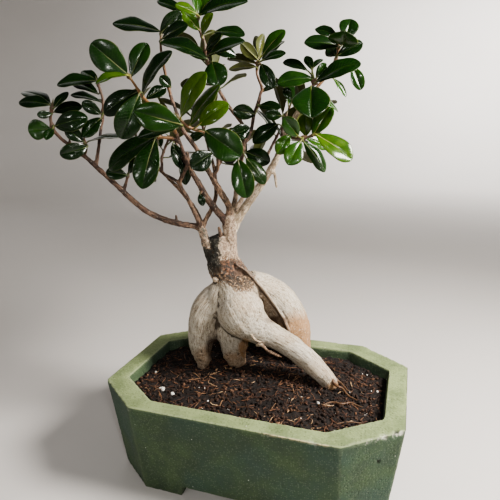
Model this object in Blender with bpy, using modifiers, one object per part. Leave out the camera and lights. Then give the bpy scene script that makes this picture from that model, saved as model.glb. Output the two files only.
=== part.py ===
"""A ginseng ficus in its octagonal concrete pot, modelled in metres with +Z up.

The pot holds a slab of peat soil. The fig's swollen roots, stump, grafts and branches are one grown piece
that stands in plain holes in the soil. Each leafy shoot is a piece of its own: a young stem with its leaves,
which carries on from the cut end of a twig.

The plant is laid out from what is seen from one side. Its stems and leaves are given as sighted points:
how far right and how far down they appear from the sighting place, and how much nearer than the stump
they stand. The function sighted() turns such a point into a place in the pot's own frame. All other sizes
are in millimetres.
"""

import math
import random

import bmesh
import bpy
from mathutils import Matrix, Vector, noise
from mathutils.bvhtree import BVHTree

MM = 0.001

# The pot
POT_LENGTH = 240.0
POT_WIDTH = 154.0
POT_HEIGHT = 79.5
CORNER_ALONG = 40.0
CORNER_ACROSS = 30.6
BASE_INSET = 10.8
BASE_CORNER_ALONG = 31.2
BASE_CORNER_ACROSS = 22.6
WALL = 15.2
FLOOR_TOP = 24.0
CAVITY_CORNER_ALONG = 36.2
CAVITY_CORNER_ACROSS = 26.3
CAVITY_INSET = 8.0
FOOT_SLOT_HEIGHT = 8.6
SLOT_ALONG = 88.0
SLOT_ACROSS = 60.0
DRAIN_RADIUS = 6.0
DRAIN_SPACING = 90.0
DRAIN_SIDES = 12
WORN_EDGE = 1.2
WORN_ANGLE = math.radians(60)

# The soil
SOIL_LEVEL = 70.5
SOIL_CROWN = 3.0
CROWN_X, CROWN_Y = -10.0, 20.0
CROWN_SPREAD = 60.0
LUMPS = ((1.6, 16.0), (0.8, 7.0))
SOIL_CELL = 13.0
CLEAR = 0.3
HOLE_CLEAR = 0.4

# Where the plant is sighted from, in the pot's frame: the pot's middle on the table, its long side along X
EYE = Vector((113.2, -341.2, 281.3))
TURN = math.radians(19.14)
LOOK_DOWN = math.radians(14.55)
TILT = math.radians(-1.47)
REACH = 468.0
VIEW_CENTRE = 250.0
STUMP_X, STUMP_Y = -30.0, 20.0

# Leaves and young stems
BLADE_THICKNESS = 0.8
BLADE_WIDTH_RATIO = 0.55
LEAF_CLEARANCE = 1.4
LEAF_REACH = 0.75
STALK_HALF_WIDTH = 0.75
STALK_SINK = 0.4
LEAF_FOLD = 0.16
LEAF_ARCH = 0.07
BLADE_ROWS = ((0.30, 0.80), (0.62, 1.0), (0.88, 0.66))
SMALL_BLADE_ROWS = ((0.34, 0.92), (0.76, 0.90))
SMALL_LEAF = 31.0
SHOOT_RADIUS = 1.25
SHOOT_TIP_RADIUS = 0.8
SHOOT_SIDES = 4
TWIG_RADIUS = 1.5
WOODY_LENGTH = 8.0
WOODY_SHARE = 0.45
BARE_FOOT = 2.0
BARE_TIP = 1.0
MOST_SLIDE = 16.0
SLIDE_STEP = 1.0
SLIDE_ROUNDS = 70
GUIDE_RADIUS = 2.0

# Swollen roots and the stump: right, down, nearer, radius
SWOLLEN = {
    "stump": (
        (217, 236, 0, 9.5), (220, 244, 0, 11.5), (222, 254, 0, 13.2), (224, 265, 0, 14.6),
        (230, 277, 0, 17.0), (238, 291, 0, 18.6), (242, 305, -4, 17.0),
    ),
    "left_leg": (
        (225, 291, 2, 12.6), (213.5, 301, 4, 13.2), (205.5, 313, 5, 13.6), (203, 328, 5, 13.4),
        (203.5, 343, 5, 12.0), (204.5, 356, 4, 8.8), (204.5, 368, 3, 5.8), (205, 380, 3, 4.2),
    ),
    "middle_leg": (
        (232, 315, 6, 13.0), (232, 330, 3, 14.6), (234, 343, 1, 14.6), (236, 355, 0, 10.8),
        (238, 365, 0, 6.8), (239, 377, 0, 4.6),
    ),
    "front_bulb": (
        (236, 295, 8, 15.5), (240, 309, 13, 20.4), (245, 317, 15, 19.6), (253, 325, 16, 15.6),
        (262, 331, 17, 12.4),
    ),
    "right_leg": (
        (257, 328, 16.5, 13.0), (275, 338, 20, 10.8), (290, 346.5, 25, 9.8), (305, 357.5, 30, 9.2),
        (318, 369.5, 34, 8.4), (328, 381, 37, 7.5), (332, 389, 38, 6.2), (336, 401, 39, 4.4),
    ),
    "back_root": (
        (247, 281, -4, 11.8), (263, 289, -11, 14.4), (277, 301, -15, 17.2), (286, 315, -15, 18.0),
        (292.5, 329, -11, 16.6), (297, 342, -6, 13.0), (300, 355, -3, 9.4), (301, 368, -2, 6.6),
    ),
    "hind_root": (
        (236, 292, -6, 15.0), (230, 306, -16, 15.5), (229, 322, -22, 13.0), (231, 338, -26, 9.6),
        (233, 352, -28, 6.5), (233, 364, -28, 4.6),
    ),
    "core": ((230, 300, 2, 16.0), (224, 315, 2, 13.5), (226, 330, -4, 11.0), (228, 342, -8, 8.0)),
    "ridge": (
        (237, 264.5, 10, 3.8), (245, 270, 9, 4.6), (252, 277, 7, 5.0), (264.5, 290, 5, 5.0),
        (275, 304, 4, 4.8), (283.5, 317.5, 4, 4.2), (289, 330, 5, 3.2),
    ),
    "graft_a": (
        (212, 258, 4, 5.5), (207.5, 247, 5, 4.4), (204.5, 238, 5, 3.8), (201.5, 228, 5, 3.7),
    ),
    "graft_b": (
        (228, 256, 3, 8.5), (229.5, 243, 2, 6.6), (229.3, 230, 2, 6.1), (229.3, 219, 2, 5.6),
    ),
}
ROOT_SIDES = 16
ROOT_VOXEL = 1.6
ROOT_SMOOTHING = 20
ROOT_TRIANGLES = 2100

# Branches: right, down, nearer, radius
BRANCH_SIDES = 6
BRANCHES = {
    "branch_left": (
        (202, 231, 5, 3.2), (196, 226.5, 5, 3.0), (183, 224.5, 6, 2.9), (169, 221, 7, 2.9),
        (151.5, 214, 9, 2.8), (137, 204, 11, 2.7), (118, 186.5, 12, 2.5), (102, 172, 12, 2.3),
        (89, 160, 12, 2.1), (80, 153, 13, 2.0), (64, 141, 14, 1.7), (57, 135, 15, 1.5),
    ),
    "branch_left_side": (
        (96, 166.5, 12, 1.8), (99.6, 140, 8, 1.5), (102, 121, 4, 1.3),
    ),
    "branch_a2": (
        (200.5, 230, 5, 3.1), (198, 220, 7, 2.7), (188, 199, 12, 2.3), (180, 183, 18, 2.1),
        (187, 165, 23, 1.7), (182, 148, 27, 1.6), (178, 138, 29, 1.4),
    ),
    "branch_a2_left": (
        (181, 185, 17.5, 1.8), (175, 180, 20, 1.6), (166, 175, 23, 1.5),
    ),
    "branch_a3": (
        (202, 229, 5, 3.0), (205, 221, 4, 2.4), (211, 210, 0, 2.1), (215, 200, -6, 2.0),
        (216, 190, -14, 1.9), (214, 168, -34, 1.7), (208, 146, -50, 1.5),
    ),
    "branch_b1": (
        (228, 226, 3, 4.0), (223, 218, 4, 3.0), (209, 201, 8, 2.7), (198, 182, 13, 2.3),
        (191, 170, 16, 1.9), (187, 153, 20, 1.5),
    ),
    "branch_b2": (
        (229.5, 221, 2, 4.2), (229, 207, 3, 3.2), (220, 191, 8, 2.9), (210.5, 175, 13, 2.4),
        (202, 159, 17, 2.2), (196, 148, 19, 2.1), (188, 137, 22, 2.0), (182, 128, 23, 1.8),
        (176, 111, 20, 1.5), (172, 100, 17, 1.4),
    ),
    "branch_b2_right": (
        (212, 178, 12.5, 2.0), (218, 166, 12, 1.8), (217, 148, 12, 1.5),
    ),
    "branch_b3": (
        (231, 221, 2, 3.8), (233, 209, -2, 2.8), (236, 195, -8, 2.5), (239, 172, -14, 2.3),
        (243, 150, -18, 2.1), (244, 128, -20, 1.9), (230, 108, -20, 1.7), (220, 92, -18, 1.6),
        (212, 70, -15, 1.5), (207.5, 55, -13, 1.3),
    ),
    "branch_v": (
        (243.5, 146, -18.5, 2.0), (251, 130, -22, 1.7), (254, 115, -26, 1.6), (260, 97, -30, 1.4),
    ),
    "branch_b4": (
        (231.5, 231, 1, 4.2), (236, 222, 0, 3.5), (246, 206, 2, 3.1), (260, 186, 6, 2.8),
        (271, 169, 8, 2.5), (278, 155, 10, 2.2), (283, 140, 12, 2.0), (293, 120, 16, 1.7),
        (300, 109, 18, 1.6), (308, 96, 19, 1.4),
    ),
    "branch_back_right": (
        (233, 214, -3, 2.9), (244, 196, -22, 2.2), (258, 172, -42, 1.9), (270, 150, -56, 1.6),
    ),
    "branch_back_left": (
        (201.5, 224, 3, 2.6), (194, 208, -12, 2.2), (180, 190, -30, 1.9), (160, 170, -46, 1.7),
        (142, 152, -56, 1.5),
    ),
    "stub_left": ((177, 223, 6.5, 1.5), (176, 215.5, 6.5, 1.2)),
    "stub_far_left": ((71, 146, 13.5, 1.4), (69.5, 139.5, 13.5, 1.0)),
    "stub_graft": ((222, 240, 6, 2.0), (219, 228, 7, 1.3)),
    "hanging_root": ((272, 165, 8, 1.3), (275, 176, 8, 1.2), (276.5, 187, 8, 1.0)),
    "stub_trunk": ((220, 278.5, 9, 3.2), (212.5, 279.5, 12, 2.6)),
}

# Leafy shoots. A shoot's stem runs through right, down, nearer points from inside the twig that bears it.
# A leaf is base right, base down, tip right, tip down, width across the view, nearer, lean of the tip
# towards the viewer; a width below nought shows the underside.
SHOOTS = {
    "shoot_far_left": {
        "stem": ((60, 137.6, 14.5), (54, 131, 15), (50.5, 119, 16), (52, 107, 17)),
        "leaves": (
            (50, 105, 19, 102, 13, 17, -4), (50, 103, 23, 92, 11, 10, -12), (54, 108, 68, 92, 8, 14, -8),
            (52, 114, 37, 115, 8, 20, 6), (51, 129, 28, 130, 20, 22, 4), (53, 128, 46, 140, 9, 24, 10),
            (55, 126, 88, 118, 20, 22, 6), (54, 112, 82, 106, 12, 8, -8),
        ),
    },
    "shoot_left_low": {
        "stem": ((84, 156, 12.5), (86, 149, 14), (85, 143, 16)),
        "leaves": (
            (84, 142, 65, 127, 14, 20, 4), (87, 147, 60, 155, 16, 26, 10), (89, 141, 126, 138, 5, 14, 4),
        ),
    },
    "shoot_left_high": {
        "stem": ((101.7, 124, 4.5), (103, 113, 2), (103, 100, 0), (98, 84, -2)),
        "leaves": (
            (103, 103, 70.5, 95, 7, 2, 6), (101, 114, 82, 102, 12, 6, 4), (97, 81, 57, 85, 12, -4, 2),
            (98, 94, 74, 83, 11, -8, -8), (101, 118, 83, 137, 14, 14, 8), (98, 82, 82, 71, 10, -6, -8),
        ),
    },
    "shoot_top_left": {
        "stem": (
            (179, 141, 28.5), (177, 135, 30), (173, 128, 33), (165, 120, 35), (150, 104, 30), (143, 97, 28),
            (133, 82, 24), (128, 75, 23),
        ),
        "leaves": (
            (127, 74, 91, 43, 29, 24, 4), (131, 77, 147, 43, 18, 22, -4), (127, 75, 95.5, 84, 7, 28, 4),
            (128, 76, 100, 68, 7, 18, -6), (142, 95, 172, 51, 12, 24, 2), (146, 99, 166, 88, 12, 16, -8),
            (139, 94, 121, 139, 27, 34, 4), (139, 91, 104, 114, 20, 26, -2), (182, 125, 134, 111, 28, 57, 4),
            (177, 128, 138, 137, 13, 46, 2),
        ),
    },
    "shoot_centre_bright": {
        "stem": (
            (217.3, 150, 12), (212, 139, 20), (204, 132, 27), (195, 129.5, 30), (187, 126, 32),
            (180, 119, 33),
        ),
        "leaves": (
            (181, 117, 206, 72, 18, 40, 6), (190, 125, 220, 85, 14, 35, 4), (199, 125, 229, 104, 18, 40, 6),
            (205, 131, 241, 156, 31, 44, 10), (204, 134, 189, 139, 9, 14, -4),
        ),
    },
    "shoot_red": {
        "stem": ((173, 104, 18), (171, 97, 16), (165, 72, 8), (161, 50, 2), (161, 33, -2)),
        "leaves": (
            (161, 32, 112.5, 23.5, 13, -2, 2), (161, 33, 181, 12, 16, -2, 6), (162, 39, 188, 25, 12, 4, 6),
            (171, 87, 160, 76, 11, 14, 4),
        ),
    },
    "shoot_left_hanging": {
        "stem": ((180.5, 143.5, 27.7), (172, 138, 30), (164, 137.5, 33), (157, 136.5, 34)),
        "leaves": (
            (157, 136, 109, 169, 20, 31, 0), (155, 139, 142, 189, 26, 35, 8), (157, 150, 155, 182, 9, 30, -4),
            (148, 130, 139, 117, 9, 28, -6),
        ),
    },
    "shoot_centre_dark": {
        "stem": ((187, 164, 23), (181, 155, 13), (176, 143, 11), (172, 139, 11)),
        "leaves": ((172.5, 144, 183, 169, 14, 12, 2), (180, 158, 186, 185, 12, 4, -2)),
    },
    "shoot_centre_low": {
        "stem": ((217.5, 161, 12), (220, 151, 15), (224, 139, 18)),
        "leaves": (
            (213, 152, 191, 168, 21, 26, 6), (225, 139, 250, 128, 16, 10, -8),
        ),
    },
    "shoot_middle": {
        "stem": ((241.5, 160, -16), (244, 152, -4), (243, 151, 6), (242, 150, 12)),
        "leaves": (
            (238, 160, 247, 198, 23, 22, 6), (246, 152, 270, 162, 18, 16, 2), (246, 158, 265, 184, 14, 19, 2),
            (240, 148, 224, 162, 14, 4, -8),
        ),
    },
    "shoot_inner_right": {
        "stem": ((280.5, 148, 11), (282, 137, 6), (283, 126, 2), (286, 116, -4)),
        "leaves": (
            (278, 124, 253, 143, 16, 8, 4), (282, 116, 265, 113, 12, -4, 0),
        ),
    },
    "shoot_inner_top": {
        "stem": ((254.3, 114, -26.2), (257, 108, -21), (259, 103, -17)),
        "leaves": ((258, 106, 281, 108, 10, -14, 6), (255, 114, 233, 110, 15, -18, 6)),
    },
    "shoot_v": {
        "stem": ((258.5, 101, -29), (262, 88, -31), (257, 74, -33), (258, 62, -35)),
        "leaves": (
            (258, 60, 241, 43, -13, -36, 4), (258, 59, 255, 36, -9, -40, -4), (260, 59, 264, 34, -8, -34, -6),
            (262, 56, 285, 30, 13, -30, 2), (262, 60, 284, 41, 8, -38, -8), (262, 61, 286, 53, 8, -30, 4),
            (257, 64, 227, 59, -8, -34, 4), (256, 67, 229, 69, -8, -28, 8), (261, 64, 273, 88, 15, -24, 6),
            (262, 92, 281, 84, 6, -32, -4),
        ),
    },
    "shoot_right": {
        "stem": ((302.5, 105, 18.3), (306, 98, 26), (311, 90, 27), (315, 81, 25)),
        "leaves": (
            (311, 86, 311, 118, 38, 36, 18), (313, 79, 277, 84, 15, 24, 4), (292, 100, 284, 88, 9, 22, -2),
            (316, 82, 361, 63, 16, 30, 6), (333, 78, 346, 97, 6, 20, 2), (312, 70, 306, 56, 9, 12, -6),
            (308, 71, 283, 62, 9, 12, -4), (312, 91, 338, 112, 5, 28, 0), (316, 78, 326, 63, 10, 26, 0),
            (313, 68, 322, 59, 6, 8, -6),
        ),
    },
    "shoot_right_top": {
        "stem": ((307, 97.5, 19), (320, 84, 14), (330, 71, 12), (337, 56, 10), (339, 44, 8)),
        "leaves": (
            (342, 45, 345, 31, 30, 14, 20), (345, 40, 351, 19, 20, 8, -6), (339, 46, 304, 43, 14, 14, 4),
            (338, 37, 315, 29, 10, 4, -6), (337, 56, 363, 43, 14, 16, 4), (352, 66, 361, 90, 13, 20, 2),
            (336, 56, 327, 47, 13, 14, 0),
        ),
    },
    "shoot_right_low": {
        "stem": ((285, 136, 13), (294, 138, 17), (303, 138, 21), (314, 135, 24)),
        "leaves": (
            (315, 134, 352, 160, 20, 32, 6), (313, 136, 332, 107, 17, 22, -4),
            (303, 141, 325, 172, 14, 26, 2), (301, 141, 288, 165, 20, 30, 8),
            (290, 135, 277, 154, 16, 24, 4), (305, 138, 327, 148, 12, 16, -8),
            (298, 136, 284, 117, 16, 28, 8), (306, 136, 305, 114, 16, 18, -4),
        ),
    },
    "shoot_top_middle": {
        "stem": ((215, 79, -16.2), (209, 66, -9), (206, 56, -7), (205, 48, -6)),
        "leaves": (
            (212, 62, 219, 86, 25, -4, 6), (206, 50, 222, 33, 9, -4, 6), (208, 56, 245, 41, 12, -8, 4),
            (207, 59, 160, 43, 14, -6, 6), (207, 60, 189, 48, 12, -16, -6), (206, 50, 236, 56, 12, -20, -8),
        ),
    },
    "shoot_top": {
        "stem": ((208.5, 58, -13.4), (205, 44, -14), (199, 28, -13), (197, 17, -12)),
        "leaves": (
            (199, 30, 182, 10, 13, -12, 2), (197, 14, 175, 5, 9, -8, 4), (197, 18, 194, -8, 10, -14, -6),
            (198, 16, 248, 1, 15, -12, 4), (202, 36, 213, 13, 9, -4, 6), (214, 32, 245, 35, 11, -18, 2),
            (182, 12, 157, 1, 10, -16, -4), (197, 17, 216, -6, 11, -18, -4),
        ),
    },
    "shoot_left_inner": {
        "stem": ((123.5, 191.5, 11.5), (126, 183, 12), (128, 175, 14)),
        "leaves": ((127, 175, 106, 172, 13, 20, 2), (128, 174, 141, 157, 11, 20, -2)),
    },
    "shoot_b1_side": {
        "stem": ((203, 191, 10.5), (201, 192, 16), (200.5, 193, 20)),
        "leaves": ((200, 193, 203, 206, 8, 23, 2),),
    },
}

# Shoots at the back, whose leaves stand round the stem by a rule: stem points, then leaf count and seed
BACK_SHOOTS = {
    "shoot_back_centre": (((209.5, 151, -46.5), (206, 138, -56), (202, 124, -62), (198, 112, -64)), 7, 77),
    "shoot_back_centre_low": (((214.5, 172, -30.5), (222, 160, -42), (230, 148, -48)), 4, 38),
    "shoot_back_right": (((268, 153.5, -53.5), (276, 138, -62), (284, 122, -64), (290, 106, -62)), 7, 47),
    "shoot_back_right_low": (((256, 175, -39.5), (252, 165, -54), (248, 154, -66)), 4, 9),
    "shoot_back_left": (((145, 155, -54.5), (138, 142, -64), (134, 128, -70), (132, 114, -70)), 6, 12),
    "shoot_back_left_low": (((162, 172, -44.5), (162, 157, -50), (167, 143, -52), (172, 132, -50)), 5, 67),
    "shoot_back_top": (((225, 100, -19), (216, 86, -30), (210, 72, -38), (208, 58, -42)), 6, 50),
    "shoot_back_mid_right": (((276, 159, 9.5), (284, 146, -8), (296, 128, -22), (306, 106, -28)), 6, 5),
}
BACK_LEAF_LENGTH = 36.0
BACK_STALK = 6.0
GOLDEN_ANGLE = math.radians(137.5)
WHORL_WAVER = 0.25
WHORL_LIFT = 0.35
WHORL_TIP_LIFT = 0.75
WHORL_AWAY = 0.25

ROOT_COLOUR = (0.50, 0.44, 0.35)
LEAF_COLOUR = (0.035, 0.115, 0.03)
SOIL_COLOUR = (0.055, 0.028, 0.017)
POT_COLOUR = (0.11, 0.20, 0.12)


def sight_frame():
    """The right, up and forward directions of someone sighting the plant."""
    level = math.cos(LOOK_DOWN)
    forward = Vector((-math.sin(TURN) * level, math.cos(TURN) * level, -math.sin(LOOK_DOWN)))
    right = forward.cross(Vector((0, 0, 1))).normalized()
    up = right.cross(forward)
    turned_right = right * math.cos(TILT) + up * math.sin(TILT)
    turned_up = up * math.cos(TILT) - right * math.sin(TILT)
    return turned_right, turned_up, forward


RIGHT, UP, FORWARD = sight_frame()
AWAY = Vector((-math.sin(TURN), math.cos(TURN), 0))


def sighted(right, down, nearer):
    """The place that appears at (right, down) and stands `nearer` millimetres in front of the stump."""
    ray = FORWARD * REACH + RIGHT * (right - VIEW_CENTRE) + UP * (VIEW_CENTRE - down)
    plane = Vector((STUMP_X, STUMP_Y, 0)) - AWAY * nearer
    return EYE + ray * ((plane - EYE).dot(AWAY) / ray.dot(AWAY))


def material(name, colour, roughness):
    finish = bpy.data.materials.new(name)
    finish.use_nodes = True
    shader = finish.node_tree.nodes["Principled BSDF"]
    shader.inputs["Base Color"].default_value = (*colour, 1.0)
    shader.inputs["Roughness"].default_value = roughness
    shader.inputs["Metallic"].default_value = 0.0
    return finish


def new_object(name, bm, collection):
    """An object from a bmesh given in millimetres."""
    bmesh.ops.scale(bm, vec=(MM, MM, MM), verts=bm.verts)
    mesh = bpy.data.meshes.new(name)
    bm.to_mesh(mesh)
    bm.free()
    made = bpy.data.objects.new(name, mesh)
    collection.objects.link(made)
    return made


def as_helper(made):
    made.hide_render = True
    made.display_type = "WIRE"
    return made


def apply_modifiers(made):
    """Gives the object its evaluated mesh, with no modifiers left on it."""
    bpy.context.view_layer.update()
    graph = bpy.context.evaluated_depsgraph_get()
    old = made.data
    mesh = bpy.data.meshes.new_from_object(made.evaluated_get(graph))
    made.modifiers.clear()
    made.data = mesh
    mesh.name = made.name
    bpy.data.meshes.remove(old)


def remove(made):
    mesh = made.data
    bpy.data.objects.remove(made)
    bpy.data.meshes.remove(mesh)


def boolean(made, operation, other=None, group=None, solver="EXACT"):
    cut = made.modifiers.new(operation.lower(), "BOOLEAN")
    cut.operation = operation
    cut.solver = solver
    if group is None:
        cut.object = other
    else:
        cut.operand_type = "COLLECTION"
        cut.collection = group
    return cut


def tube(name, points, radii, sides, collection):
    """A closed round tube along the points, as a mesh."""
    curve = bpy.data.curves.new(name, "CURVE")
    curve.dimensions = "3D"
    curve.bevel_depth = MM
    curve.bevel_resolution = (sides - 4) // 2
    curve.use_fill_caps = True
    spline = curve.splines.new("POLY")
    spline.points.add(len(points) - 1)
    for knot, point, radius in zip(spline.points, points, radii):
        knot.co = (*(Vector(point) * MM), 1.0)
        knot.radius = radius
    drawn = bpy.data.objects.new(name + "_curve", curve)
    collection.objects.link(drawn)
    bpy.context.view_layer.update()
    mesh = bpy.data.meshes.new_from_object(drawn.evaluated_get(bpy.context.evaluated_depsgraph_get()))
    bm = bmesh.new()
    bm.from_mesh(mesh)
    bmesh.ops.remove_doubles(bm, verts=bm.verts, dist=1e-6)
    bm.to_mesh(mesh)
    bm.free()
    made = bpy.data.objects.new(name, mesh)
    made.matrix_world = drawn.matrix_world
    collection.objects.link(made)
    bpy.data.objects.remove(drawn)
    bpy.data.curves.remove(curve)
    return made


def octagon(length, width, along, across, height):
    """The corners of a rectangle with its corners cut off, anticlockwise from the front left."""
    x, y = length / 2, width / 2
    ring = (
        (along - x, -y), (x - along, -y), (x, across - y), (x, y - across),
        (x - along, y), (along - x, y), (-x, y - across), (-x, across - y),
    )
    return [Vector((px, py, height)) for px, py in ring]


def loft(name, sections, collection):
    """A closed solid through eight-sided sections, from the lowest to the highest."""
    bm = bmesh.new()
    bmesh.ops.create_circle(bm, segments=8, cap_ends=True, radius=1)
    face = bm.faces[:][0]
    for vert, corner in zip(face.verts, sections[0]):
        vert.co = corner
    for below, section in zip(sections, sections[1:]):
        grown = bmesh.ops.extrude_face_region(bm, geom=[face])["geom"]
        if below is not sections[0]:
            bmesh.ops.delete(bm, geom=[face], context="FACES_ONLY")
        face = next(item for item in grown if isinstance(item, bmesh.types.BMFace))
        for vert in face.verts:
            corner = min(range(8), key=lambda i: (below[i] - vert.co).length)
            vert.co = section[corner]
    bmesh.ops.recalc_face_normals(bm, faces=bm.faces)
    return new_object(name, bm, collection)


def block(name, size, centre, collection):
    bm = bmesh.new()
    bmesh.ops.create_cube(bm, size=1)
    bmesh.ops.scale(bm, vec=size, verts=bm.verts)
    bmesh.ops.translate(bm, vec=centre, verts=bm.verts)
    return new_object(name, bm, collection)


def cavity_section(height, clear):
    """The pot's inside at one height, `clear` smaller all round."""
    drop = (POT_HEIGHT - height) / (POT_HEIGHT - FLOOR_TOP) * CAVITY_INSET
    inset = 2 * (WALL + drop + clear)
    return octagon(
        POT_LENGTH - inset, POT_WIDTH - inset, CAVITY_CORNER_ALONG, CAVITY_CORNER_ACROSS, height,
    )


def build_pot(parts, cutters):
    """The tapered eight-sided pot on four corner feet, with two drain holes."""
    outside = octagon(POT_LENGTH, POT_WIDTH, CORNER_ALONG, CORNER_ACROSS, POT_HEIGHT)
    base = octagon(
        POT_LENGTH - 2 * BASE_INSET, POT_WIDTH - 2 * BASE_INSET, BASE_CORNER_ALONG, BASE_CORNER_ACROSS, 0,
    )
    pot = loft("pot", [base, outside], parts)
    hollow = loft("pot_hollow", [cavity_section(FLOOR_TOP, 0), cavity_section(POT_HEIGHT * 2, 0)], cutters)
    slot_size = 2 * FOOT_SLOT_HEIGHT
    slots = [
        block("slot_front_back", (SLOT_ALONG, POT_WIDTH * 2, slot_size), (0, 0, 0), cutters),
        block("slot_sides", (POT_LENGTH * 2, SLOT_ACROSS, slot_size), (0, 0, 0), cutters),
    ]
    drains = []
    for side in (-1, 1):
        bm = bmesh.new()
        bmesh.ops.create_cone(
            bm, cap_ends=True, segments=DRAIN_SIDES, depth=FLOOR_TOP * 2,
            radius1=DRAIN_RADIUS, radius2=DRAIN_RADIUS,
        )
        bmesh.ops.translate(bm, vec=(side * DRAIN_SPACING / 2, 0, FLOOR_TOP / 2), verts=bm.verts)
        drains.append(new_object(f"drain_{side}", bm, cutters))
    for cutter in [hollow, *slots, *drains]:
        boolean(pot, "DIFFERENCE", as_helper(cutter))
    worn = pot.modifiers.new("worn_edges", "BEVEL")
    worn.width = WORN_EDGE * MM
    worn.segments = 1
    worn.limit_method = "ANGLE"
    worn.angle_limit = WORN_ANGLE
    pot.data.materials.append(material("pigmented_concrete", POT_COLOUR, 0.85))
    return pot


def build_roots(parts):
    """The swollen roots, stump and graft stems as one smooth mass, in few faces."""
    mass = None
    group = bpy.data.collections.new("root_pieces")
    bpy.context.scene.collection.children.link(group)
    for name, points in SWOLLEN.items():
        places = [sighted(*point[:3]) for point in points]
        made = tube(name, places, [point[3] for point in points], ROOT_SIDES, group if mass else parts)
        mass = mass or made
    boolean(mass, "UNION", group=group, solver="MANIFOLD")
    apply_modifiers(mass)
    for made in list(group.objects):
        remove(made)
    bpy.data.collections.remove(group)
    voxels = mass.modifiers.new("one_skin", "REMESH")
    voxels.mode = "VOXEL"
    voxels.voxel_size = ROOT_VOXEL * MM
    smooth = mass.modifiers.new("soften", "SMOOTH")
    smooth.factor = 0.5
    smooth.iterations = ROOT_SMOOTHING
    apply_modifiers(mass)
    mass.data.calc_loop_triangles()
    fewer = mass.modifiers.new("fewer_faces", "DECIMATE")
    fewer.ratio = ROOT_TRIANGLES / len(mass.data.loop_triangles)
    apply_modifiers(mass)
    return mass


def along_path(points, start, end=None):
    """The part of a path between two distances from its first point."""
    lengths = [0.0]
    for a, b in zip(points, points[1:]):
        lengths.append(lengths[-1] + (b - a).length)
    end = lengths[-1] if end is None else end

    def at(distance):
        for i in range(len(points) - 1):
            if distance <= lengths[i + 1]:
                return points[i].lerp(points[i + 1], (distance - lengths[i]) / (lengths[i + 1] - lengths[i]))
        return points[-1].copy()

    between = [point for point, d in zip(points, lengths) if start + 1e-3 < d < end - 1e-3]
    return [at(start), *between, at(end)]


def path_length(path):
    return sum((b - a).length for a, b in zip(path, path[1:]))


def woody_length(path):
    """How much of a shoot's path is woody twig, grown in one with the branch."""
    return min(WOODY_LENGTH, WOODY_SHARE * path_length(path))


def build_wood(parts, shoots):
    """The roots and stump with every branch and woody twig, fused into one piece."""
    wood = build_roots(parts)
    wood.name = "roots_and_branches"
    group = bpy.data.collections.new("branch_pieces")
    bpy.context.scene.collection.children.link(group)
    for name, points in BRANCHES.items():
        places = [sighted(*point[:3]) for point in points]
        tube(name, places, [point[3] for point in points], BRANCH_SIDES, group)
    for name, shoot in shoots.items():
        woody = along_path(shoot["path"], 0, woody_length(shoot["path"]))
        tube(name + "_twig", woody, [TWIG_RADIUS] * len(woody), SHOOT_SIDES, group)
    boolean(wood, "UNION", group=group, solver="MANIFOLD")
    apply_modifiers(wood)
    for made in list(group.objects):
        remove(made)
    bpy.data.collections.remove(group)
    wood.data.materials.clear()
    wood.data.materials.append(material("ficus_bark", ROOT_COLOUR, 0.8))
    return wood


def build_soil(parts, cutters, wood):
    """The peat: a lumpy top, higher round the roots, cut to the pot's inside, with a hole for each root."""
    columns, rows = round(POT_LENGTH / SOIL_CELL), round(POT_WIDTH / SOIL_CELL)
    bm = bmesh.new()
    bmesh.ops.create_grid(bm, x_segments=columns, y_segments=rows, size=0.5)
    for vert in bm.verts:
        x, y = vert.co.x * POT_LENGTH, vert.co.y * POT_WIDTH
        from_crown = ((x - CROWN_X) ** 2 + (y - CROWN_Y) ** 2) / CROWN_SPREAD**2
        height = SOIL_LEVEL + SOIL_CROWN * math.exp(-from_crown)
        for lump, spread in LUMPS:
            height += lump * noise.noise(Vector((x, y, spread)) / spread)
        vert.co = (x, y, height)
    bmesh.ops.triangulate(bm, faces=bm.faces)
    top = bm.faces[:]
    grown = bmesh.ops.extrude_face_region(bm, geom=top)["geom"]
    for item in grown:
        if isinstance(item, bmesh.types.BMVert):
            item.co.z = 0
    bmesh.ops.recalc_face_normals(bm, faces=bm.faces)
    soil = new_object("soil", bm, parts)
    bottom = FLOOR_TOP + CLEAR
    chamfer = 1.5 * WORN_EDGE
    sections = [
        cavity_section(bottom, CLEAR + chamfer),
        cavity_section(bottom + chamfer, CLEAR),
        cavity_section(POT_HEIGHT * 2, CLEAR),
    ]
    boolean(soil, "INTERSECT", as_helper(loft("soil_outline", sections, cutters)))
    holes = as_helper(bpy.data.objects.new("root_holes", wood.data.copy()))
    cutters.objects.link(holes)
    swell = holes.modifiers.new("clearance", "DISPLACE")
    swell.strength = HOLE_CLEAR * MM
    swell.mid_level = 0
    boolean(soil, "DIFFERENCE", holes)
    soil.data.materials.append(material("peat_soil", SOIL_COLOUR, 0.95))
    return soil


def nearest_on_path(path, place):
    best = None
    for a, b in zip(path, path[1:]):
        share = max(0.0, min(1.0, (place - a).dot(b - a) / (b - a).length_squared))
        spot = a.lerp(b, share)
        if best is None or (spot - place).length < (best - place).length:
            best = spot
    return best


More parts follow.
